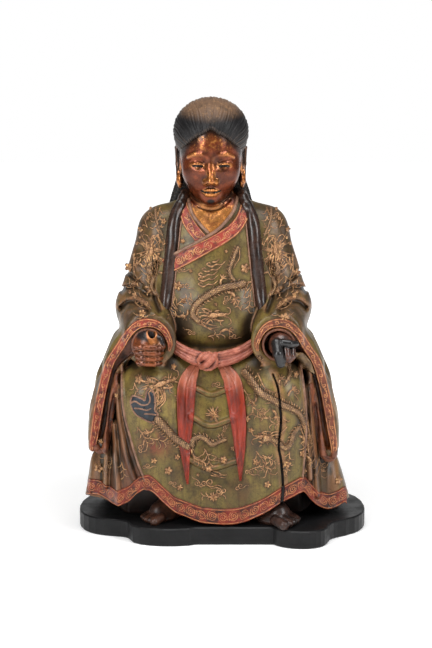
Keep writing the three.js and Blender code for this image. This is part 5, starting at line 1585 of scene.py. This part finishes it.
def face_gilding():
    paint = Paint("worn_gilding")
    copper = paint.blend(tone(122, 55, 25), tone(76, 33, 16), paint.ramp(paint.noise(26, 5, 0.6), 0.36, 0.62))
    specks = paint.ramp(paint.noise(5, 7, 0.75), 0.5, 0.6)
    gold = paint.maths("MULTIPLY", specks, paint.ramp(paint.zone("gilded"), 0.2, 1.0, 0, 0.75))
    gold = paint.maths("ADD", gold, paint.maths("MULTIPLY", paint.ramp(paint.zone("gilded"), 1.1, 2.0),
                                                paint.ramp(paint.noise(18, 6, 0.65), 0.4, 0.62, 0.7, 0.3)))
    colour = paint.blend(copper, tone(206, 138, 70), gold)
    colour = paint.blend(colour, tone(196, 128, 70), paint.maths("MULTIPLY", paint.zone("lips"), 0.5))
    # Painted highlights in gold on sharp ridges and on broad swells
    ridge = paint.ramp(paint.zone("ridge"), 0.14, 0.6)
    colour = paint.blend(colour, tone(206, 140, 78), paint.maths("MULTIPLY", ridge, 0.4))
    swell = paint.maths("MULTIPLY", paint.ramp(paint.zone("swell"), 0.12, 0.5), paint.ramp(paint.noise(7, 6, 0.7), 0.35, 0.6))
    colour = paint.blend(colour, tone(206, 132, 66), paint.maths("MULTIPLY", swell, 0.8))
    # Painted shade in the hollows of the face
    hollow = paint.ramp(paint.zone("open"), 0.96, 0.35, 0, 0.95)
    colour = paint.blend(colour, tone(36, 17, 11), hollow)
    # Dark paint in the eye slits, and painted shade along the mouth line
    colour = paint.blend(colour, tone(16, 11, 9), paint.zone("slit"))
    colour = paint.blend(colour, tone(24, 18, 17), paint.zone("tuft"))
    colour = paint.blend(colour, tone(26, 19, 17), paint.maths("MULTIPLY", paint.zone("shaded"), 0.85))
    paint.emboss(paint.noise(3, 5, 0.65), 0.2, 0.4)
    return paint.finish(colour, paint.ramp(paint.noise(9, 5), 0.35, 0.7, 0.2, 0.34), 0.6, 0.25)


def hair_lacquer():
    paint = Paint("hair_lacquer")
    colour = paint.blend(tone(22, 20, 21), tone(12, 11, 12), paint.ramp(paint.noise(18, 6), 0.4, 0.65))
    worn = paint.maths("MULTIPLY", paint.zone("crown"), paint.ramp(paint.noise(14, 6, 0.7), 0.28, 0.52, 0.4))
    colour = paint.blend(colour, tone(110, 84, 64), paint.maths("MULTIPLY", worn, 0.85))
    flecks = paint.maths("MULTIPLY", paint.zone("crown"), paint.ramp(paint.noise(5, 6, 0.75), 0.52, 0.62))
    colour = paint.blend(colour, tone(156, 120, 84), paint.maths("MULTIPLY", flecks, 0.5))
    # Lighter on the strands' ridges, wear with a painted highlight; painted shade between the strands
    ridge = paint.ramp(paint.zone("ridge"), 0.1, 0.4, 0, 0.3)
    colour = paint.blend(colour, tone(112, 92, 78), ridge)
    hollow = paint.ramp(paint.zone("open"), 0.95, 0.5, 0, 0.85)
    colour = paint.blend(colour, tone(12, 11, 11), hollow)
    return paint.finish(colour, 0.48, 0.0, 0.0, 0.25)


# The dark under colour shows where the gilding is worn and stands as painted shade low on the relief
OLD_GOLD, GOLD_SHADE, GOLD_UNDER_AND_SHADE = tone(186, 140, 98), tone(122, 86, 60), tone(46, 33, 22)
robe_paint = robe_lacquer()
vermilion = trim_lacquer("vermilion_and_gilt", tone(120, 42, 29), tone(58, 25, 19), tone(170, 108, 68))
collar_red = trim_lacquer("collar_red_and_gilt", tone(144, 55, 44), tone(92, 39, 31), tone(180, 126, 80))
sleeve_red = trim_lacquer("sleeve_red_and_gilt", tone(146, 58, 42), tone(90, 38, 28), tone(190, 130, 84))
ribbon_red = plain_lacquer("ribbon_red", tone(148, 47, 25), tone(100, 33, 20), tone(52, 20, 14), 7, stretch=(1, 1, 6),
                            over=tone(172, 104, 78))
sash_red = plain_lacquer("sash_red", tone(178, 108, 86), tone(142, 74, 58), tone(84, 40, 30), 12, zones=True)
lapel_black = plain_lacquer("lapel_black", tone(58, 36, 26), tone(24, 17, 14), tone(12, 9, 8), 9, (0.2, 0.34), 0.3,
                            stretch=(1, 1, 7), zones=True)
gilt_paint = gilt_lacquer("gilt_relief", OLD_GOLD, GOLD_SHADE, GOLD_UNDER_AND_SHADE)
piping_paint = plain_lacquer("piping", tone(140, 104, 82), tone(104, 72, 56), tone(54, 38, 28), 12)
ink_paint = plain_lacquer("ink_blue", tone(38, 44, 52), tone(24, 26, 30), tone(12, 12, 14), 12)
hand_paint = plain_lacquer("hand_gilding", tone(136, 72, 36), tone(76, 38, 22), tone(26, 14, 10), 16, (0.22, 0.36),
                           0.3, metal=0.4, zones=True, over=tone(40, 34, 33), proud=tone(190, 116, 58))
dark_hand_paint = plain_lacquer("hand_dark", tone(92, 54, 40), tone(58, 35, 28), tone(18, 13, 11), 14, (0.2, 0.35),
                                0.5, metal=0.1, zones=True, over=tone(26, 24, 24))
foot_paint = plain_lacquer("foot_brown", tone(76, 46, 32), tone(46, 29, 22), tone(20, 14, 11), 14, (0.35, 0.55), 0.2)
dark_foot_paint = plain_lacquer("foot_dark", tone(58, 37, 29), tone(30, 21, 18), tone(14, 11, 10), 14, (0.3, 0.5), 0.2)
cuff_paint = plain_lacquer("inner_sleeve", tone(116, 70, 48), tone(80, 48, 34), tone(34, 22, 16), 14, zones=True)
leg_paint = plain_lacquer("sleeve_leg", tone(136, 80, 54), tone(88, 50, 36), tone(38, 25, 18), 14)
flap_paint = plain_lacquer("sleeve_flap", tone(124, 98, 66), tone(78, 58, 40), tone(36, 26, 19), 9)
face_paint = face_gilding()
hair_paint = hair_lacquer()
for piece, field, reach in [(face_piece, face, 3), (hair_piece, hair, 2), (left_hand_piece, left_hand, 3),
                            (right_hand_piece, right_hand, 3), (sash_piece, sash, 4),
                            (cuff_piece, inner_sleeves, 4), (lapel_piece, lapels, 4)]:
    set_hollow(piece, field, reach)
# How broadly each point swells out, for painted gold highlights
set_values(face_piece, "swell", np.clip(1 + face(*(points_of(face_piece) - normals_of(face_piece) * 8).T) / 8, 0, 1))
p = points_of(right_hand_piece)
fingers = np.minimum(pointers[0](*p.T), pointers[1](*p.T))
set_values(right_hand_piece, "dark", smooth(2.2, 0.6, fingers))
p = points_of(left_hand_piece)
set_values(left_hand_piece, "dark", smooth(286, 293, p[:, 2] + 0.25 * (p[:, 0] + 100)))
set_values(sleeve_borders, "brown", points_of(sleeve_borders)[:, 0] > 0)
set_values(ribbon_piece, "dark", smooth(196, 238, points_of(ribbon_piece)[:, 2]) * 0.8)

DRESS = [
    (robe_piece, robe_paint), (collars, collar_red), (sleeve_borders, sleeve_red), (hem_piece, vermilion),
    (lapel_piece, lapel_black), (ribbon_piece, ribbon_red), (sash_piece, sash_red), (gilt_piece, gilt_paint),
    (sleeve_piece, gilt_paint),
    (ink_piece, ink_paint), (face_piece, face_paint), (hair_piece, hair_paint), (left_hand_piece, hand_paint),
    (right_hand_piece, dark_hand_paint), (left_foot_piece, foot_paint), (right_foot_piece, dark_foot_paint),
    (piping_piece, piping_paint), (cuff_piece, cuff_paint), (inner_legs, leg_paint),
    (flap_piece, flap_paint),
]
for piece, paint in DRESS:
    piece.data.materials.append(paint)
    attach(piece, "root")
    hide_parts("figure")

# Plinth
plinth_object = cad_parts["plinth"]
black = plain_lacquer("plinth_black", tone(22, 22, 23), tone(15, 15, 16), tone(8, 8, 8), 40, (0.4, 0.55), 0.0)
black.node_tree.nodes["Principled BSDF"].inputs["Specular IOR Level"].default_value = 0.25
for slot in plinth_object.material_slots:
    slot.material = black

# Floor, light and camera
bpy.ops.mesh.primitive_plane_add(size=14, location=(0, 3, 0))
floor = bpy.context.object
floor.name = "floor"
floor_paint = Paint("floor")
from_figure = floor_paint.add("ShaderNodeVectorMath", operation="LENGTH")
geometry = floor_paint.add("ShaderNodeNewGeometry")
floor_paint.put(geometry.outputs["Position"], from_figure.inputs[0])
glow = floor_paint.ramp(from_figure.outputs["Value"], 0.3, 1.1, 0.25, 1.0)
floor_paint.put((1, 1, 1, 1), floor_paint.shader.inputs["Emission Color"])
floor_paint.put(glow, floor_paint.shader.inputs["Emission Strength"])
floor_paint.put(0.2, floor_paint.shader.inputs["Specular IOR Level"])
floor.data.materials.append(floor_paint.finish(tone(240, 240, 240), 0.9))
floor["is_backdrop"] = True

world = bpy.data.worlds.new("studio")
world.use_nodes = True
sky = world.node_tree
way = sky.nodes.new("ShaderNodeTexCoord").outputs["Generated"]
parts = sky.nodes.new("ShaderNodeSeparateXYZ")
sky.links.new(way, parts.inputs[0])
behind = sky.nodes.new("ShaderNodeMapRange")
behind.interpolation_type = "SMOOTHSTEP"
sky.links.new(parts.outputs["Y"], behind.inputs["Value"])
for key, number in (("From Min", 0.8), ("From Max", 0.98), ("To Min", 0.17), ("To Max", 1.0)):
    behind.inputs[key].default_value = number
sky.links.new(behind.outputs["Result"], sky.nodes["Background"].inputs["Strength"])
sky.nodes["Background"].inputs["Color"].default_value = (1, 1, 1, 1)
bpy.context.scene.world = world


def softbox(name, place, target, size, power):
    light = bpy.data.lights.new(name, "AREA")
    light.shape = "RECTANGLE"
    light.size, light.size_y = size
    light.energy = power
    lamp = bpy.data.objects.new(name, light)
    bpy.context.scene.collection.objects.link(lamp)
    way = mathutils.Vector(target) - mathutils.Vector(place)
    lamp.location = place
    lamp.rotation_euler = way.to_track_quat("-Z", "Y").to_euler()


softbox("left_box", (-1.3, -1.7, 1.3), (0, 0, 0.35), (0.5, 1.4), 33)
softbox("right_box", (1.6, -1.2, 1.4), (0, 0, 0.35), (0.5, 1.4), 28)
softbox("top_box", (0, -0.5, 2.4), (0, 0, 0.3), (1.6, 1.2), 33)

CAMERA_DISTANCE, CAMERA_RISE = 2.6, math.radians(9)
AIM = (-0.010, 0, 0.328)
camera = bpy.data.objects.new("camera", bpy.data.cameras.new("camera"))
bpy.context.scene.collection.objects.link(camera)
camera.location = (AIM[0], -CAMERA_DISTANCE * math.cos(CAMERA_RISE),
                   AIM[2] + CAMERA_DISTANCE * math.sin(CAMERA_RISE))
camera.rotation_euler = (math.pi / 2 - CAMERA_RISE, 0, 0)
camera.data.lens = 90.28
camera.data.sensor_width = 36
camera.data.sensor_fit = "AUTO"
bpy.context.scene.camera = camera
bpy.context.scene.view_settings.view_transform = "Standard"

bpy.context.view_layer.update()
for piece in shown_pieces():
    print("piece", piece.name, sum(len(f.vertices) - 2 for f in piece.data.polygons))
